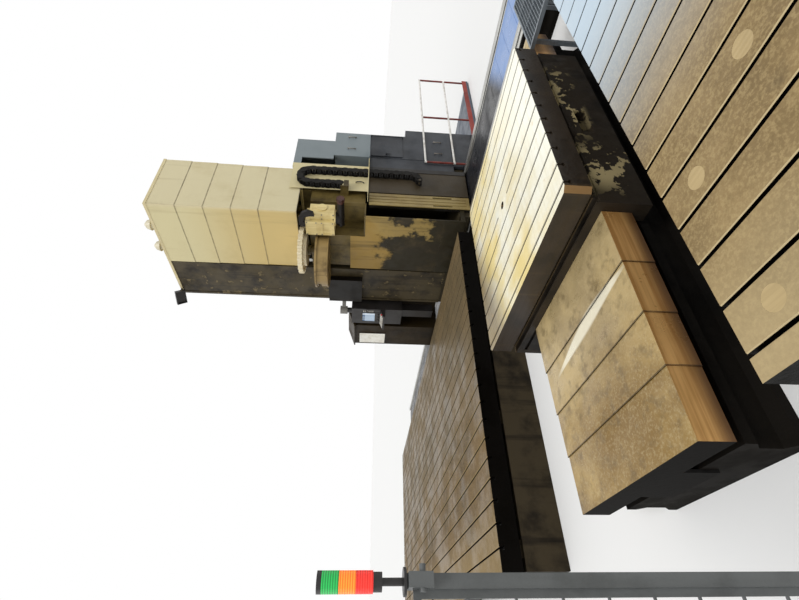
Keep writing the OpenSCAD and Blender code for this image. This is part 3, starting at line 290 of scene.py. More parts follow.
# %% Effect groups
def new_group(name, inputs, outputs):
    tree = bpy.data.node_groups.new(name, "ShaderNodeTree")
    for label, default in inputs:
        s = tree.interface.new_socket(label, in_out="INPUT", socket_type="NodeSocketFloat")
        s.default_value = default
    for label in outputs:
        tree.interface.new_socket(label, in_out="OUTPUT", socket_type="NodeSocketFloat")
    inside = tree.nodes.new("NodeGroupInput")
    outside = tree.nodes.new("NodeGroupOutput")
    return tree, inside, outside


def noise_group(name, stretch, detail, roughness):
    """A noise mask. A stretch below one draws the noise out along that axis."""
    tree, inside, outside = new_group(
        name, (("Scale", 2.0), ("Low", 0.45), ("High", 0.6)), ("Mask",))
    mapping = tree.nodes.new("ShaderNodeMapping")
    mapping.inputs["Scale"].default_value = stretch
    tree.links.new(place(tree), mapping.inputs["Vector"])
    noise = tree.nodes.new("ShaderNodeTexNoise")
    noise.inputs["Detail"].default_value = detail
    noise.inputs["Roughness"].default_value = roughness
    tree.links.new(mapping.outputs[0], noise.inputs["Vector"])
    tree.links.new(inside.outputs["Scale"], noise.inputs["Scale"])
    ramp = tree.nodes.new("ShaderNodeMapRange")
    ramp.interpolation_type = "SMOOTHSTEP"
    tree.links.new(noise.outputs[0], ramp.inputs["Value"])
    tree.links.new(inside.outputs["Low"], ramp.inputs["From Min"])
    tree.links.new(inside.outputs["High"], ramp.inputs["From Max"])
    tree.links.new(ramp.outputs[0], outside.inputs["Mask"])
    return tree


stains = noise_group("stains", (1, 1, 1), 5, 0.62)
runs = noise_group("runs_down", (1, 1, 0.07), 4, 0.6)
brushed_x = noise_group("brushed_along_x", (0.03, 1, 1), 3, 0.6)
brushed_y = noise_group("brushed_along_y", (1, 0.03, 1), 3, 0.6)
print("effects:", [g.name for g in (stains, runs, brushed_x, brushed_y)])


def effect(tree, group, scale, low, high):
    """The group's mask: zero where its noise is under low, one where it is over high."""
    n = tree.nodes.new("ShaderNodeGroup")
    n.node_tree = group
    n.inputs["Scale"].default_value = scale
    n.inputs["Low"].default_value = low
    n.inputs["High"].default_value = high
    return n.outputs["Mask"]


def effect_rough(tree, low, high):
    return span(tree, effect(tree, stains, 4.0, 0.3, 0.7), 0, 1, low, high)


def finish_with(tree, shader, color, rough=None, height=None, depth=0.001):
    tree.links.new(color, shader.inputs["Base Color"])
    if rough is not None:
        tree.links.new(rough, shader.inputs["Roughness"])
    if height is not None:
        bump = tree.nodes.new("ShaderNodeBump")
        bump.inputs["Distance"].default_value = depth
        bump.inputs["Strength"].default_value = 0.6
        tree.links.new(height, bump.inputs["Height"])
        tree.links.new(bump.outputs[0], shader.inputs["Normal"])


# %% [markdown]
# ## Painted sheet metal
# Old machine paint isn't one colour: it is darker where hands and oil have been, it has runs below
# seams, and a faint orange-peel grain. One function makes such a paint from its two colours. A third
# colour shows where the paint is chipped.

# %% Worn paint
def worn_paint(name, base, stain, amount=0.5, scale=1.3, run=0.3, rough=0.5, chip=None, chips=0.0,
               specular=0.5):
    m, tree, shader = material(name, rough, Specular_IOR_Level=specular)
    color = coat(tree, rgb(base), effect(tree, stains, scale, 0.42, 0.72), amount, stain)
    if run:
        color = coat(tree, color, effect(tree, runs, 5.0, 0.52, 0.7), run, stain)
    if chip:
        color = mix(tree, effect(tree, stains, 6.0, 0.66 - chips, 0.68 - chips), color, rgb(chip))
    grain = effect(tree, stains, 90.0, 0.3, 0.7)
    soil = effect(tree, stains, 3.0, 0.35, 0.7)
    finish_with(tree, shader, color, span(tree, soil, 0, 1, rough - 0.08, rough + 0.12), grain, 0.0006)
    return m


def dress(material_to_use, *names):
    for name in names:
        slots = nodes[name].data.materials
        if not len(slots):
            slots.append(material_to_use)
        for i in range(len(slots)):
            slots[i] = material_to_use


dark_paint = worn_paint("dark_machine_paint", "3d3626", "241e13", amount=0.7, scale=0.9, run=0.4,
                        chip="645840", chips=-0.02, specular=0.25)
# The bed's near-black is painted shade: it lies in deep shadow below the covers.
bed_painted_shade = worn_paint("bed_painted_shade", "14110d", "090807", amount=0.8, scale=1.5, run=0.4,
                       rough=0.75, specular=0.06)
supports_paint = worn_paint("supports_paint", "3a3224", "14100b", amount=1.0, scale=2.2, run=0.9,
                            rough=0.65, chip="6e6148", chips=-0.06, specular=0.1)
side_paint = worn_paint("side_cover_paint", "433a2b", "2a2419", amount=0.6, scale=1.2, run=0.35,
                        rough=0.45, specular=0.25)
boom_paint = worn_paint("boom_paint", "77746e", "55524c", scale=4.0, rough=0.45)
fence_paint = worn_paint("fence_paint", "5d6060", "3f4140", amount=0.6, scale=6.0, run=0.4,
                         chip="8a8378")
brown_paint = worn_paint("cabinet_paint_brown", "2c2211", "130e06", amount=0.8, scale=2.0, run=0.6,
                         specular=0.2)
dress(dark_paint, "column_base", "column_tower")
dress(bed_painted_shade, "machine_beds")
dress(supports_paint, "plate_supports")
dress(side_paint, "side_cover")
dress(boom_paint, "console_boom")
dress(fence_paint, "guard_fence")
dress(brown_paint, "operator_cabinet")
print("dark paints are on")

# %% [markdown]
# ## The tall cream covers
# The cover rows slide inside one another. Their front is painted a yellower cream than the side, as
# painted light, and yellower still lower down. Along each seam a thin dark line is painted as the
# shadow under the step, darker where there is rust. The front corner has worn pale, so the colour is
# mixed from the height, the place and the side that a face looks to.

# %% Cream covers
cover_rows = [f"upper_cover_{row}" for row in range(1, 6)]
covers_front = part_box("upper_cover_1")[0].y
covers_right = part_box("upper_cover_1")[1].x


def cream_cover(name, seams):
    m, tree, shader = material(name, 0.42)
    x, _, z = axes(tree, place(tree))
    # The front is painted a yellower cream than the side as painted light, yellower still lower down.
    front = span(tree, facing(tree)[1], -0.4, -0.9)
    low = span(tree, z, 5.9, 4.2)
    lit_front_cream = mix(tree, low, rgb("cdc295"), rgb("c6ae6f"))
    corner = times(tree, span(tree, x, covers_right - 0.09, covers_right), 0.7)
    lit_front_cream = mix(tree, corner, lit_front_cream, rgb("d5c9a3"))
    color = mix(tree, front, rgb("ccc19b"), lit_front_cream)
    dirt = effect(tree, stains, 1.6, 0.45, 0.75)
    color = coat(tree, color, dirt, 0.25, "a99566")
    run = effect(tree, runs, 6.0, 0.55, 0.72)
    color = coat(tree, color, run, 0.2, "8b7648")
    # Along each seam a thin dark line is painted as the shadow under the step, darker where rust is.
    edge = None
    for seam in seams:
        seam_shadow_and_rust = span(tree, gap(tree, z, seam), 0.016, 0.003)
        edge = seam_shadow_and_rust if edge is None else math_node(tree, "MAXIMUM", edge, seam_shadow_and_rust)
    rusty = effect(tree, stains, 7.0, 0.35, 0.7)
    seam_shadow_and_rust = times(tree, edge, plus(tree, times(tree, rusty, 0.35), 0.3))
    color = mix(tree, seam_shadow_and_rust, color, rgb("54452c"))
    grain = effect(tree, stains, 60.0, 0.3, 0.7)
    finish_with(tree, shader, color, span(tree, dirt, 0, 1, 0.36, 0.55), grain, 0.0005)
    return m


# A ledge hangs under the lowest row's sheet, so that row's seam lies above the bottom of its box.
ledge_drop = 0.03
row_edges = [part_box(row)[0].z for row in cover_rows]
row_edges[-1] += ledge_drop
dress(cream_cover("cream_cover_paint", row_edges), *cover_rows)
dress(worn_paint("cream_cap_paint", "cdbf94", "a4915d", amount=0.35, scale=1.5, run=0.15, rough=0.4),
      "top_cap")
dress(worn_paint("vent_paint", "cfc7ae", "8f8469", scale=6.0, run=0.2), "top_vents")
print("seams at", [round(edge, 2) for edge in row_edges])

# %% [markdown]
# ## The lower covers and the headstock
# These sit in the chips and the coolant. The upper sheet is still ochre, and below it the paint is
# soaked to a dark olive with one pale patch left near the right edge. A patch like that is a mask
# made of a soft box and a noise, so that its outline is ragged.

# %% Stained ochre and olive
ochre_ends, olive_starts = 2.25, 2.0
patch_sides = (-3.12, -2.78)
patch_heights = (1.15, 2.3)


def stained_ochre(name):
    m, tree, shader = material(name, 0.45, Specular_IOR_Level=0.25)
    x, _, z = axes(tree, place(tree))
    ragged = times(tree, minus(tree, effect(tree, stains, 2.6, 0.2, 0.8), 0.5), 0.7)
    height = plus(tree, z, ragged)
    color = mix(tree, span(tree, height, ochre_ends, olive_starts), rgb("9d8144"), rgb("282314"))
    patch = soft_box(tree, plus(tree, x, ragged), *patch_sides, 0.08)
    patch = times(tree, patch, soft_box(tree, height, *patch_heights, 0.12))
    color = coat(tree, color, patch, 0.85, "a28a50")
    color = coat(tree, color, effect(tree, runs, 7.0, 0.5, 0.7), 0.45, "2c2417")
    color = coat(tree, color, effect(tree, stains, 2.2, 0.5, 0.75), 0.3, "6d5c3c")
    grain = effect(tree, stains, 70.0, 0.3, 0.7)
    finish_with(tree, shader, color, effect_rough(tree, 0.34, 0.62), grain, 0.0006)
    return m


headstock_paint = worn_paint("headstock_paint", "6b5b30", "2e250f", amount=0.95, scale=1.6, run=0.8,
                             rough=0.45, chip="161107", chips=-0.03, specular=0.3)
tray_paint = worn_paint("tray_paint", "998152", "473519", amount=0.8, scale=2.6, run=0.7,
                        rough=0.42, specular=0.3)
head_paint = worn_paint("head_paint", "dbc88b", "99783a", amount=0.4, scale=3.0, run=0.4, rough=0.4)
disc_paint = worn_paint("disc_paint", "ded2b2", "a8956d", amount=0.3, scale=3.0, run=0.2, rough=0.42)
nose_paint = worn_paint("nose_paint", "1c1815", "0b0a08", amount=0.6, scale=5.0, rough=0.45,
                        specular=0.2)
dress(stained_ochre("stained_lower_paint"), "lower_cover_a", "lower_cover_b", "lower_cover_c")
dress(headstock_paint, "headstock")
dress(tray_paint, "magazine_tray")
dress(head_paint, "milling_head")
dress(disc_paint, "tool_disc")
dress(nose_paint, "head_nose", "changer_arm")
print("covers and headstock are dressed")

# %% [markdown]
# ## Parts in two colours
# Some nodes hold sheets of two colours, such as a red kick board on a grey platform. A short function
# for each says where its second colour starts, and the paint is mixed there. Under the shelf, inside
# the pillar and on the blue band left of the column, the second colour is painted shade.

# %% Two zones
shelf_high = 2.37
deck_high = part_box("handrail")[0].z
pillar_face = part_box("way_pillar")[1].x


def zones_of(m, other, choose):
    """Lays the two other colours over a paint, in the zone that choose gives."""
    tree, shader = m.node_tree, m.node_tree.nodes["Principled BSDF"]
    first = shader.inputs["Base Color"].links[0].from_socket
    second_paint_and_shade = mix(tree, effect(tree, stains, 1.7, 0.35, 0.7), rgb(other[0]), rgb(other[1]))
    where = choose(tree, *axes(tree, place(tree)))
    tree.links.new(mix(tree, where, first, second_paint_and_shade), shader.inputs["Base Color"])
    return m


def two_zones(name, base, other, choose, rough=0.45):
    plain = worn_paint(name, base, base, amount=0.3, scale=1.2, run=0.2, rough=rough, specular=0.3)
    return zones_of(plain, other, choose)


def in_front_of_the_sheet(tree, x, y, z):
    return span(tree, y, covers_front - 0.001, covers_front - 0.005)


# Below the shelf the cabinets and the cream panel are painted dark as the shade under the shelf.
def under_the_shelf(tree, x, y, z):
    return span(tree, z, shelf_high + 0.005, shelf_high - 0.005)


def kick_boards(tree, x, y, z):
    return span(tree, z, deck_high + 0.002, deck_high + 0.006)


# Left of the column the blue band is painted dark as shade.
def left_of_the_column(tree, x, y, z):
    return span(tree, plus(tree, x, times(tree, y, 0.4)), 1.15, 0.75)


# Inside the pillar the paint is near-black, as painted shade.
def inside_the_pillar(tree, x, y, z):
    return span(tree, x, pillar_face - 0.014, pillar_face - 0.020)


guard_paint = worn_paint("patched_guard", "463d29", "1d170e", amount=1.0, scale=2.4, run=0.8,
                         chip="66593d", chips=0.04, specular=0.25)
pillar_paint = worn_paint("pillar_paint", "95824e", "5f481d", scale=2.0, run=0.7, rough=0.42)
dress(zones_of(guard_paint, ("120d06", "080603"), in_front_of_the_sheet), "front_guard")
dress(zones_of(pillar_paint, ("17120a", "0a0805"), inside_the_pillar), "way_pillar")
dress(two_zones("cabinet_paint", "798285", ("3c3f44", "2a2c30"), under_the_shelf),
      "rear_cabinets", "cabinet_door")
dress(two_zones("panel_paint", "ccc095", ("34322f", "242220"), under_the_shelf, rough=0.42),
      "chain_panel")
dress(two_zones("platform_paint", "4a525e", ("8c3226", "5f2019"), kick_boards), "rear_platform")
dress(two_zones("blue_band_paint", "7896c8", ("1f2024", "131417"), left_of_the_column, rough=0.35),
      "x_way_band")
print("painted nodes are dressed")

# %% [markdown]
# ## Bare steel and iron
# Floor plates are planed grey iron that oil has turned brown. They shine only where boots have
# polished them, so the roughness changes over the surface more than the colour does. The bevelled lip
# of each slot is worn pale, and in the slots and on every face below the top a near-black is painted
# as shade.

# %% Floor plates
plate_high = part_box("right_floor_plates")[1].z


def plate_iron(name, base, stain, pale, bevel, far, far_amount, rough, sheen):
    m, tree, shader = material(name, rough, 0.15)
    _, y, z = axes(tree, place(tree))
    color = mix(tree, effect(tree, stains, 1.1, 0.38, 0.68), rgb(base), rgb(stain))
    color = coat(tree, color, effect(tree, stains, 55.0, 0.42, 0.64), 0.55, pale)
    color = coat(tree, color, effect(tree, stains, 16.0, 0.46, 0.70), 0.4, stain)
    color = coat(tree, color, effect(tree, stains, 3.1, 0.6, 0.8), 0.5, "3a3024")
    # Daylight from the hall's end pales the far plates.
    color = coat(tree, color, span(tree, y, -1.5, 0.3), far_amount, far)
    color = coat(tree, color, span(tree, y, -1.9, -2.7), 0.5, bevel)
    tilt = facing(tree)[2]
    lip = times(tree, span(tree, tilt, 0.55, 0.7), span(tree, tilt, 0.95, 0.8))
    lip = times(tree, lip, span(tree, y, 0.3, -1.5))
    color = mix(tree, lip, color, rgb(bevel))
    # Every face below the top, in the slots and on the sides, is painted near-black as shade.
    level = span(tree, z, plate_high - 0.008, plate_high - 0.006)
    top = times(tree, span(tree, tilt, 0.5, 0.6), level)
    color = mix(tree, top, rgb("080604"), color)
    gloss = effect(tree, stains, 2.0, 0.3, 0.7)
    tree.links.new(span(tree, top, 0, 1, 0.05, sheen), shader.inputs["Specular IOR Level"])
    finish_with(tree, shader, color, span(tree, gloss, 0, 1, rough - 0.12, rough + 0.16),
                effect(tree, stains, 45.0, 0.3, 0.7), 0.0012)
    return m


right_iron = plate_iron("right_plate_iron", "967f57", "766240", "b09a6d", bevel="c0ad84",
                        far="c8dae8", far_amount=0.9, rough=0.5, sheen=0.25)
left_iron = plate_iron("left_plate_iron", "6b5533", "46371d", "857047", bevel="97825a",
                       far="6f6654", far_amount=0.4, rough=0.42, sheen=0.06)
dress(right_iron, "right_floor_plates")
dress(left_iron, "left_floor_plates")
print("plates end at", round(plate_high, 3))


# %% Bare steel
def bare_steel(name, base, stain, rough, metal, scale=40.0, amount=0.5):
    m, tree, shader = material(name, rough, metal)
    color = coat(tree, rgb(base), effect(tree, stains, 2.0, 0.4, 0.7), amount, stain)
    lines = effect(tree, brushed_x, scale, 0.3, 0.7)
    color = coat(tree, color, lines, 0.25, stain)
    finish_with(tree, shader, color, span(tree, lines, 0, 1, rough - 0.06, rough + 0.14), lines, 0.0003)
    return m


plug_steel = bare_steel("plug_steel", "b9a274", "94805a", rough=0.5, metal=0.05, scale=60.0)
ground_steel = bare_steel("ground_steel", "b8b8b4", "8f8c86", rough=0.28, metal=0.85)
rail_steel = bare_steel("rail_steel_upright", "b0b0ac", "8a8780", rough=0.3, metal=0.85)
grating_zinc = bare_steel("grating_zinc", "8e969c", "5d646b", rough=0.45, metal=0.7)
spindle_steel = bare_steel("spindle_steel", "4a241a", "1c0f0b", rough=0.5, metal=0.1, amount=0.8)
dress(plug_steel, "plate_plugs")
dress(ground_steel, "way_rails", "table_bearing", "ram")
dress(rail_steel, "vertical_rails")
dress(grating_zinc, "walkway_grating")
dress(spindle_steel, "spindle")
print("bare steel is on")

# %% [markdown]
# ## The rotary table
# The table is the brightest part: ground steel, almost white where the light strikes it, with a
# yellow film of oil. Its sides and slots are painted a dark brown as shade, with runs of oil over it,
# and the cut corners show the bare copper colour of worn steel. The side that a face looks to picks
# between the three.

# %% Table finish
table_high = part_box("rotary_table")[1].z


def table_finish():
    m, tree, shader = material("table_ground_steel", 0.32, 0.1)
    x, y, z = axes(tree, place(tree))
    nx, ny, nz = facing(tree)
    # Oil has dried to yellow islands towards the front left, and the far left lies in shade.
    slant = plus(tree, x, times(tree, y, 0.35))
    film = times(tree, effect(tree, stains, 1.4, 0.30, 0.62), span(tree, slant, 1.1, -0.2, 0.1, 1.0))
    color = mix(tree, film, rgb("fffef0"), rgb("f3df9c"))
    left = span(tree, slant, -0.55, -1.15)
    color = coat(tree, color, left, 0.85, "6e5b3e")
    marks = effect(tree, stains, 6.0, 0.6, 0.7)
    color = coat(tree, color, marks, 0.35, "cf9f48")
    cross = times(tree, effect(tree, brushed_y, 30.0, 0.45, 0.7), 0.15)
    color = mix(tree, cross, color, rgb("cfc29b"))
    # Faces below the top, the sides and the slots, are painted dark brown as shade, with oil runs over
    # it.
    level = span(tree, z, table_high - 0.008, table_high - 0.006)
    flat = times(tree, span(tree, nz, 0.5, 0.95), level)
    side = mix(tree, effect(tree, stains, 2.4, 0.4, 0.7), rgb("332a20"), rgb("1d1811"))
    side = coat(tree, side, effect(tree, runs, 9.0, 0.55, 0.7), 0.4, "55452f")
    corner = times(tree, span(tree, math_node(tree, "ABSOLUTE", nx), 0.5, 0.65),
                   span(tree, math_node(tree, "ABSOLUTE", ny), 0.5, 0.65))
    side = mix(tree, corner, side, rgb("8e6f47"))
    color = mix(tree, flat, side, color)
    lines = effect(tree, brushed_x, 55.0, 0.3, 0.7)
    finish_with(tree, shader, color, span(tree, lines, 0, 1, 0.28, 0.46), lines, 0.0003)
    return m


dress(table_finish(), "rotary_table")
print("table top at", round(table_high, 3))

# %% [markdown]
# ## The saddle
# Thick cream paint once covered the saddle, and coolant has lifted most of it. What is left are
# islands with sharp outlines, by the front corner and round the window. A coarse noise times a fine
# one gives such islands.

# %% Flaked paint
saddle_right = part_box("saddle")[1].x
saddle_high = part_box("saddle")[1].z


def flaked(name):
    m, tree, shader = material(name, 0.5, Specular_IOR_Level=0.2)
    x, y, z = axes(tree, place(tree))
    base = mix(tree, effect(tree, stains, 3.0, 0.4, 0.7), rgb("2b241b"), rgb("120f0c"))
    corner = soft_box(tree, y, -0.95, -0.45, 0.15)
    window = times(tree, soft_box(tree, y, -0.25, 0.75, 0.2), span(tree, z, 0.50, 0.62))
    zone = math_node(tree, "MAXIMUM", corner, window)
    islands = effect(tree, stains, 3.0, 0.50, 0.515)
    fine = effect(tree, stains, 11.0, 0.44, 0.46)
    keep = times(tree, times(tree, islands, fine), zone)
    keep = times(tree, keep, span(tree, x, saddle_right - 0.115, saddle_right - 0.015))
    color = mix(tree, keep, base, rgb("a8986f"))
    edge_light = times(tree, span(tree, z, saddle_high - 0.015, saddle_high), 0.5)
    color = mix(tree, edge_light, color, rgb("6a573a"))
    finish_with(tree, shader, color, effect_rough(tree, 0.38, 0.66), keep, 0.0015)
    return m


dress(flaked("flaked_saddle_paint"), "saddle")
print("saddle is flaked up to", round(saddle_high, 3))

# %% [markdown]
# ## Telescopic way covers
# The covers are bright sheet under a brown film. Across the top the film is golden in pools and grey
# where it has dried, and the folded sides are polished to copper. A pale streak of painted sunlight
# crosses the sections next to the saddle. Faces that look to the front are painted near-black as shade,
# and below the covers' lower edge the sheet is painted near-black as the shadow under them.

# %% Way cover steel
cover_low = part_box("front_cover_2")[0].z
streak_x, streak_y = 0.30, -1.63


def painted_sun_streak(tree, x, y):
    """A painted patch of sunlight that bends over the top in a curve, and thins out towards its ends.
    """
    bend = math_node(tree, "POWER", gap(tree, 0.75, x), 2.0)
    middle = minus(tree, streak_y, times(tree, bend, 0.10))
    away = gap(tree, y, middle)
    width = span(tree, gap(tree, x, streak_x), 0.80, 0.0, 0.006, 0.075)
    return times(tree, span(tree, math_node(tree, "DIVIDE", away, width), 1.0, 0.55),
                 span(tree, gap(tree, x, streak_x), 0.70, 0.45))


def cover_finish():
    m, tree, shader = material("way_cover_steel", 0.36, 0.35)
    x, y, z = axes(tree, place(tree))
    _, ny, nz = facing(tree)
    color = mix(tree, effect(tree, stains, 1.5, 0.36, 0.66), rgb("b89c62"), rgb("84693a"))
    gold = times(tree, effect(tree, stains, 1.3, 0.40, 0.62), span(tree, y, -1.7, -2.5))
    color = coat(tree, color, gold, 0.7, "7d5e1b")
    color = coat(tree, color, span(tree, y, -2.3, -1.65), 0.4, "d2c096")
    specks = effect(tree, stains, 60.0, 0.45, 0.7)
    color = coat(tree, color, specks, 0.35, "cbb98e")
    dull = effect(tree, stains, 9.0, 0.48, 0.72)
    color = coat(tree, color, dull, 0.55, "5c4a29")
    # A pale streak of sunlight is painted across the top.
    color = coat(tree, color, painted_sun_streak(tree, x, y), 0.9, "f1ead2")
    side = mix(tree, effect(tree, brushed_y, 25.0, 0.35, 0.7), rgb("dfae6c"), rgb("b58348"))
    side = mix(tree, span(tree, z, cover_low + 0.115, cover_low + 0.005), side, rgb("6b4c2e"))
    # Below the covers' lower edge the sheet is painted near-black as the shadow under them.
    side = mix(tree, span(tree, z, cover_low - 0.003, cover_low - 0.007), side, rgb("0d0b09"))
    flat = span(tree, nz, 0.5, 0.9)
    color = mix(tree, flat, side, color)
    # Faces that look to the front are painted near-black and kept from reflecting, as shade.
    front = span(tree, ny, -0.5, -0.9)
    color = mix(tree, front, color, rgb("0d0b09"))
    tree.links.new(span(tree, front, 0, 1, 0.35, 0.0), shader.inputs["Metallic"])
    tree.links.new(span(tree, front, 0, 1, 0.5, 0.05), shader.inputs["Specular IOR Level"])
    rough = math_node(tree, "MAXIMUM", effect_rough(tree, 0.26, 0.5), times(tree, front, 0.7))
    finish_with(tree, shader, color, rough, effect(tree, stains, 30.0, 0.3, 0.7), 0.0008)
    return m


dress(cover_finish(), "end_covers", "saddle_covers", "front_cover_2", "front_cover_3",
      "rear_cover_2", "rear_cover_3")
print("way covers from", round(cover_low, 3), "up")

# %% [markdown]
# ## Handrail
# The posts are painted red and the tubes that hands run along are bright. One material does both: the
# height tells a rail from a post.

# %% Handrail finish
top_tube = (1.205, 1.26)
middle_tube = (0.608, 0.654)


def handrail_finish():
    m, tree, shader = material("handrail_red_and_bright", 0.35)
    z = axes(tree, place(tree))[2]
    top = soft_box(tree, z, *top_tube, 0.004)
    middle = soft_box(tree, z, *middle_tube, 0.004)
    bright = math_node(tree, "MAXIMUM", top, middle)
    red = mix(tree, effect(tree, stains, 8.0, 0.4, 0.7), rgb("7a2f25"), rgb("4d1f1a"))
    steel = mix(tree, effect(tree, stains, 8.0, 0.4, 0.7), rgb("dcdad4"), rgb("b5b1a8"))
    finish_with(tree, shader, mix(tree, bright, red, steel), effect_rough(tree, 0.28, 0.45))
    return m


dress(handrail_finish(), "handrail")
print("bright tubes at", top_tube, middle_tube)

# %% [markdown]
# ## Plastics, lamps and the console
# The console is a black painted cabinet. The signal lamps are tinted plastic with a light inside, so
# they get an emission that stays well below white, to keep their colour.

# %% Plastics and lamps
def plain_plastic(name, color, dark, rough=0.4, specular=0.5):
    m, tree, shader = material(name, rough, Specular_IOR_Level=specular)
    grain = effect(tree, stains, 120.0, 0.3, 0.7)
    finish_with(tree, shader, mix(tree, effect(tree, stains, 10.0, 0.4, 0.7), rgb(color), rgb(dark)),
                effect_rough(tree, rough - 0.05, rough + 0.1), grain, 0.0002)
    return m


def glow_with(tree, shader, color, strength):
    tree.links.new(color, shader.inputs["Emission Color"])
    shader.inputs["Emission Strength"].default_value = strength


def lamp_plastic(name, color, dark, glow):
    m, tree, shader = material(name, 0.25)
    z = axes(tree, place(tree))[2]
    ribs = math_node(tree, "SINE", times(tree, z, 900.0))
    shade = mix(tree, span(tree, ribs, -1, 1), rgb(color), rgb(dark))
    finish_with(tree, shader, shade)
    glow_with(tree, shader, shade, glow)
    return m


black_paint = worn_paint("console_paint", "211e1d", "110f0f", amount=0.6, scale=4.0, run=0.2,
                         rough=0.4)
dress(black_paint, "console", "signal_tower", "floodlight")
dress(plain_plastic("key_plastic", "d8d5cc", "a8a396"), "console_keys")
dress(plain_plastic("stop_red", "c3241b", "8f1712", rough=0.3), "estop_button")
dress(lamp_plastic("lamp_green", "1fae4f", "0f7a35", glow=0.5), "signal_green")
dress(lamp_plastic("lamp_amber", "ff8a2a", "e05f10", glow=0.7), "signal_amber")
dress(lamp_plastic("lamp_red", "f0352a", "b81c14", glow=0.6), "signal_red")
chain_plastic = plain_plastic("chain_plastic", "15120e", "080705", rough=0.5, specular=0.15)
rubber = plain_plastic("wiper_rubber", "1a1613", "0c0a09", rough=0.6)
bolt_steel = bare_steel("bolt_steel", "8a857c", "4a443b", rough=0.4, metal=0.7, scale=90.0)
dark_steel = bare_steel("dark_steel", "4b4640", "2a2622", rough=0.42, metal=0.5)
print("materials:", len(bpy.data.materials))


# %% [markdown]
# ## Helpers for pieces
# New pieces start from a bmesh cube or cone. Each helper adds one shape to a bmesh, in place, and a
# finished piece becomes an object at the origin that rides on its body.

# %% Shape helpers
towards_the_front = (0, -1, 0)


def add_box(bm, low, high, bevel=0.0):
    low, high = Vector(low), Vector(high)
    made = bmesh.ops.create_cube(bm, size=1.0)
    verts = made["verts"]
    bmesh.ops.scale(bm, vec=high - low, verts=verts)
    bmesh.ops.translate(bm, vec=(low + high) / 2, verts=verts)
    if bevel:
        edges = list({e for v in verts for e in v.link_edges})
        bmesh.ops.bevel(bm, geom=edges, offset=bevel, offset_type="OFFSET", segments=2,
                        profile=0.5, affect="EDGES", material=-1)


def add_rod(bm, start, end, radius, sides, radius_2=None):
    start, end = Vector(start), Vector(end)
    axis = end - start
    turn = axis.to_track_quat("Z", "Y").to_matrix().to_4x4()
    bmesh.ops.create_cone(bm, cap_ends=True, cap_tris=False, segments=sides, radius1=radius,
                          radius2=radius if radius_2 is None else radius_2, depth=axis.length,
                          matrix=Matrix.Translation((start + end) / 2) @ turn)


def add_bolt(bm, point, normal, radius, height):
    """A six-sided head on a round washer."""
    point, normal = Vector(point), Vector(normal).normalized()
    washer_top = point + normal * height * 0.35
    add_rod(bm, point, washer_top, radius * 1.25, 20)
    add_rod(bm, washer_top, point + normal * height, radius, 6)


def bolt_row(bm, first, pitch, count, radius, height):
    """Bolt heads in a row along X that face the front."""
    for i in range(count):
        add_bolt(bm, (first[0] + i * pitch, first[1], first[2]), towards_the_front, radius, height)


def finish_piece(bm, name, body, surface, smooth=False):
    bmesh.ops.recalc_face_normals(bm, faces=bm.faces)
    mesh = bpy.data.meshes.new(name)
    bm.to_mesh(mesh)
    bm.free()
    mesh.materials.append(surface)
    if smooth:
        mesh.shade_smooth()
    piece = bpy.data.objects.new(name, mesh)
    scene.collection.objects.link(piece)
    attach(piece, body)
    print(name, "faces", len(mesh.polygons), "on", body)


# %% [markdown]
# ## Wipers on the way covers
# Each section drags a rubber wiper over the one below it. The wiper is a flat strip folded over the
# cover's top and sides, which is three plain bars that sit on the sheet. Each section is one step
# wider and higher than the one that it slides over.

# %% Cover wipers
end_low, end_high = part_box("end_covers")
cover_middle = (end_low.x + end_high.x) / 2
cover_half = (end_high.x - end_low.x) / 2
cover_high = end_high.z
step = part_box("front_cover_2")[1].z - cover_high
wiper_half, wiper_rise, wiper_sink, wiper_inset = 0.0013, 0.0016, 0.0005, 0.004


def wiper(name, body, steps, y):
    half = cover_half + steps * step
    high = cover_high + steps * step
    left, right = cover_middle - half, cover_middle + half
    back, top = y + wiper_half, high + wiper_rise
    bm = bmesh.new()
    add_box(bm, (left, y - wiper_half, high - wiper_sink), (right, back, top))
    add_box(bm, (left - wiper_rise, y - wiper_half, cover_low), (left + wiper_sink, back, top))
    add_box(bm, (right - wiper_sink, y - wiper_half, cover_low), (right + wiper_rise, back, top))
    finish_piece(bm, name, body, rubber)


saddle_covers_low, saddle_covers_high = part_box("saddle_covers")
wiper("wiper_front_2", "front_cover_2", 1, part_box("front_cover_2")[0].y + wiper_inset)
wiper("wiper_front_3", "front_cover_3", 2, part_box("front_cover_3")[0].y + wiper_inset)
wiper("wiper_front_4", "saddle", 3, saddle_covers_low.y + wiper_inset)
wiper("wiper_rear_4", "saddle", 3, saddle_covers_high.y - wiper_inset)

# %% [markdown]
# ## The cable chain
# The frame holds the chain as plain links. In motion it rolls, which one solid can't do. A copy of
# it, with doubled points merged, stands in the picture on the column, and the frame's own chain is
# hidden.

# %% A copy of the chain on the column
links = nodes["cable_chain"].copy()
links.data = nodes["cable_chain"].data.copy()
links.name = links.data.name = "chain_links"
bm = bmesh.new()
bm.from_mesh(links.data)
bmesh.ops.remove_doubles(bm, verts=bm.verts, dist=0.00001)
bm.to_mesh(links.data)
bm.free()
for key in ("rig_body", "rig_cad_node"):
    if key in links:
        del links[key]
links.parent = None
links.data.materials.clear()
links.data.materials.append(chain_plastic)
scene.collection.objects.link(links)
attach(links, "column")
chain_low, chain_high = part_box("cable_chain")
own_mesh(links)
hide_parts("cable_chain")
print("chain from", round(chain_low.z, 3), "to", round(chain_high.z, 3))

# %% [markdown]
# ## Bolts
# Bolt heads tell the eye how large a machine is. They sit where castings meet: along the foot of the
# column and round the milling head's face. A loop sets each row.

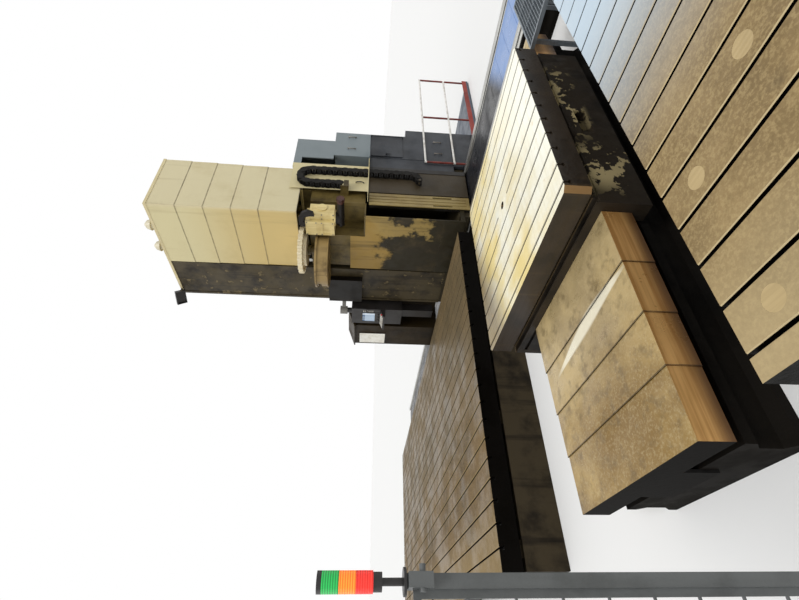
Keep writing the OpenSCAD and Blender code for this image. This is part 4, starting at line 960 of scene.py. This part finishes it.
# %% Bolt rows
foot_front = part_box("column_base")[0].y
bm = bmesh.new()
bolt_row(bm, (-5.1, foot_front, 0.68), 0.105, 9, radius=0.014, height=0.016)
bolt_row(bm, (-4.9, foot_front, 0.56), 0.5, 5, radius=0.018, height=0.02)
finish_piece(bm, "column_foot_bolts", "column", bolt_steel)

head_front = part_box("milling_head")[0].y
right_housing_set_back = 0.07
bm = bmesh.new()
for z in (2.99, 3.20):
    bolt_row(bm, (-2.87, head_front + right_housing_set_back, z), 0.10, 2, radius=0.011, height=0.012)
for z in (3.00, 3.20, 3.30, 3.47):
    bolt_row(bm, (-3.19, head_front, z), 0.28, 2, radius=0.010, height=0.010)
finish_piece(bm, "head_bolts", "ram", bolt_steel)

# %% [markdown]
# ## The console
# The operator's panel has a framed screen, a column of soft keys beside it and rotary knobs under it.
# The screen shows a plain layout of coloured fields, with no words.

# %% Screen
console_front = 2.567
screen_left, screen_right = -5.730, -5.410
screen_low, screen_high = 2.120, 2.400
frame_side, frame_rim, frame_depth = 0.015, 0.020, 0.008
screen_play, recess_near, recess_far = 0.002, 0.001, 0.0075


def screen_glass():
    m, tree, shader = material("screen_glass", 0.12)
    x, _, z = axes(tree, place(tree))
    title = span(tree, z, screen_high - 0.06, screen_high - 0.055)
    field = mix(tree, title, rgb("8fa3b8"), rgb("3d5878"))
    column = soft_box(tree, x, screen_right - 0.09, screen_right - 0.02, 0.002)
    field = coat(tree, field, column, 0.7, "c8d3dc")
    lines = math_node(tree, "GREATER_THAN", math_node(tree, "FRACT", times(tree, z, 40.0)), 0.72)
    lines = times(tree, lines, soft_box(tree, x, screen_left + 0.03, screen_left + 0.19, 0.002))
    field = coat(tree, field, lines, 0.6, "dfe6ea")
    finish_with(tree, shader, field)
    glow_with(tree, shader, field, 0.35)
    return m


bm = bmesh.new()
add_box(bm, (screen_left + screen_play, console_front + recess_near, screen_low + screen_play),
        (screen_right - screen_play, console_front + recess_far, screen_high - screen_play), 0.001)
finish_piece(bm, "console_screen", "console", screen_glass())

frame_left, frame_right = screen_left - frame_side, screen_right + frame_side
bm = bmesh.new()
for left, right, low, high in ((frame_left, frame_right, screen_high, screen_high + frame_rim),
                               (frame_left, frame_right, screen_low - frame_rim, screen_low),
                               (frame_left, screen_left, screen_low, screen_high),
                               (screen_right, frame_right, screen_low, screen_high)):
    add_box(bm, (left, console_front - frame_depth, low), (right, console_front, high), 0.002)
finish_piece(bm, "screen_frame", "console", dark_steel)

# %% Keys and knobs
key_rows, key_columns = 6, 2
key_side, key_pitch_x, key_pitch_z = 0.024, 0.032, 0.04
first_key_x, first_key_z = screen_right + 0.035, screen_high - 0.04
key_plastic = plain_plastic("soft_key_plastic", "b9b6ae", "8b877d")
bm = bmesh.new()
for row in range(key_rows):
    for col in range(key_columns):
        key_x = first_key_x + col * key_pitch_x
        key_z = first_key_z - row * key_pitch_z
        add_box(bm, (key_x, console_front - 0.009, key_z),
                (key_x + key_side, console_front - 0.001, key_z + key_side), 0.002)
finish_piece(bm, "soft_keys", "console", key_plastic)

knob_count, knob_pitch, first_knob_x, knob_z = 3, 0.11, -5.68, screen_low - 0.08
knob_foot, knob_face = console_front - 0.001, console_front - 0.029
bm = bmesh.new()
for i in range(knob_count):
    knob_x = first_knob_x + i * knob_pitch
    add_rod(bm, (knob_x, knob_foot, knob_z), (knob_x, knob_face, knob_z), 0.018, 28, 0.015)
    # A thin ridge on the face points to the setting.
    add_box(bm, (knob_x - 0.002, knob_face - 0.006, knob_z - 0.012),
            (knob_x + 0.002, knob_face + 0.002, knob_z + 0.016))
finish_piece(bm, "override_knobs", "console", dark_steel, True)

# %% [markdown]
# ## Paper on the cabinet
# A pale sheet of notes hangs on the brown cabinet's front. It is a thin box with softened edges, and
# its matt white catches the light unlike the steel behind it.

# %% Sheet panel
cabinet_front, paper_thick = 2.5625, 0.002
bm = bmesh.new()
add_box(bm, (-6.62, cabinet_front - paper_thick, 1.85), (-6.23, cabinet_front, 2.45), 0.0008)
paper = plain_plastic("paper_white", "fdfcf4", "ebe8da", rough=0.7)
finish_piece(bm, "pinned_sheet", "column", paper)

# %% [markdown]
# ## Handles and collars
# A small bowed handle stands on the chain's cream panel, made of short rods round an arc. The
# cabinets have bar handles, and the signal tower has dark collars between its lamps.

# %% Handles
handle_middle, handle_reach, handle_half = Vector((-2.69, 3.65, 2.54)), 0.035, 0.075
handle_rods = 8
arc = [Vector((handle_reach * math.sin(a), 0, -handle_half * math.cos(a)))
       for a in (math.pi * i / handle_rods for i in range(handle_rods + 1))]
bm = bmesh.new()
for start, end in zip(arc, arc[1:]):
    add_rod(bm, handle_middle + start, handle_middle + end, 0.009, 16)
finish_piece(bm, "panel_handle", "column", rubber, True)

cabinet_face, bar_x, bar_half, post_out = -2.71, -2.682, 0.09, 0.07
bm = bmesh.new()
for z in (0.95, 2.75):
    for y in (4.75, 5.15):
        for post_z in (z - post_out, z + post_out):
            add_rod(bm, (cabinet_face, y, post_z), (bar_x + 0.002, y, post_z), 0.008, 16)
        add_rod(bm, (bar_x, y, z - bar_half), (bar_x, y, z + bar_half), 0.009, 16)
finish_piece(bm, "cabinet_handles", "column", bolt_steel, True)

# %% Lamp collars
collar_half, collar_stands_out = Vector((0, 0, 0.0005)), 0.0002
bm = bmesh.new()
for lamp in ("signal_red", "signal_amber"):
    lamp_low, lamp_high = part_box(lamp)
    lamp_middle = (lamp_low + lamp_high) / 2
    seam = Vector((lamp_middle.x, lamp_middle.y, lamp_high.z))
    collar_radius = lamp_high.x - lamp_middle.x + collar_stands_out
    add_rod(bm, seam - collar_half, seam + collar_half, collar_radius, 48)
finish_piece(bm, "lamp_collars", "foundation", rubber, True)

# %% [markdown]
# ## Floor
# A wide pale floor carries the shadow and fades into the white background.

# %% Floor
floor_half, floor_drop = 80, 0.001
floor_paint, _, floor_shader = material("pale_floor", 0.8)
floor_shader.inputs["Base Color"].default_value = (0.82, 0.82, 0.81, 1)
bm = bmesh.new()
bmesh.ops.create_grid(bm, x_segments=1, y_segments=1, size=floor_half)
floor_mesh = bpy.data.meshes.new("floor")
bm.to_mesh(floor_mesh)
bm.free()
floor_mesh.materials.append(floor_paint)
floor = bpy.data.objects.new("floor", floor_mesh)
floor.location.z = -floor_drop
scene.collection.objects.link(floor)
floor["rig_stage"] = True
print("floor reaches", floor_half, "m each way")

# %% Finish
low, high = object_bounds()
print("visual box:", [round(v, 3) for v in (*low, *high)])
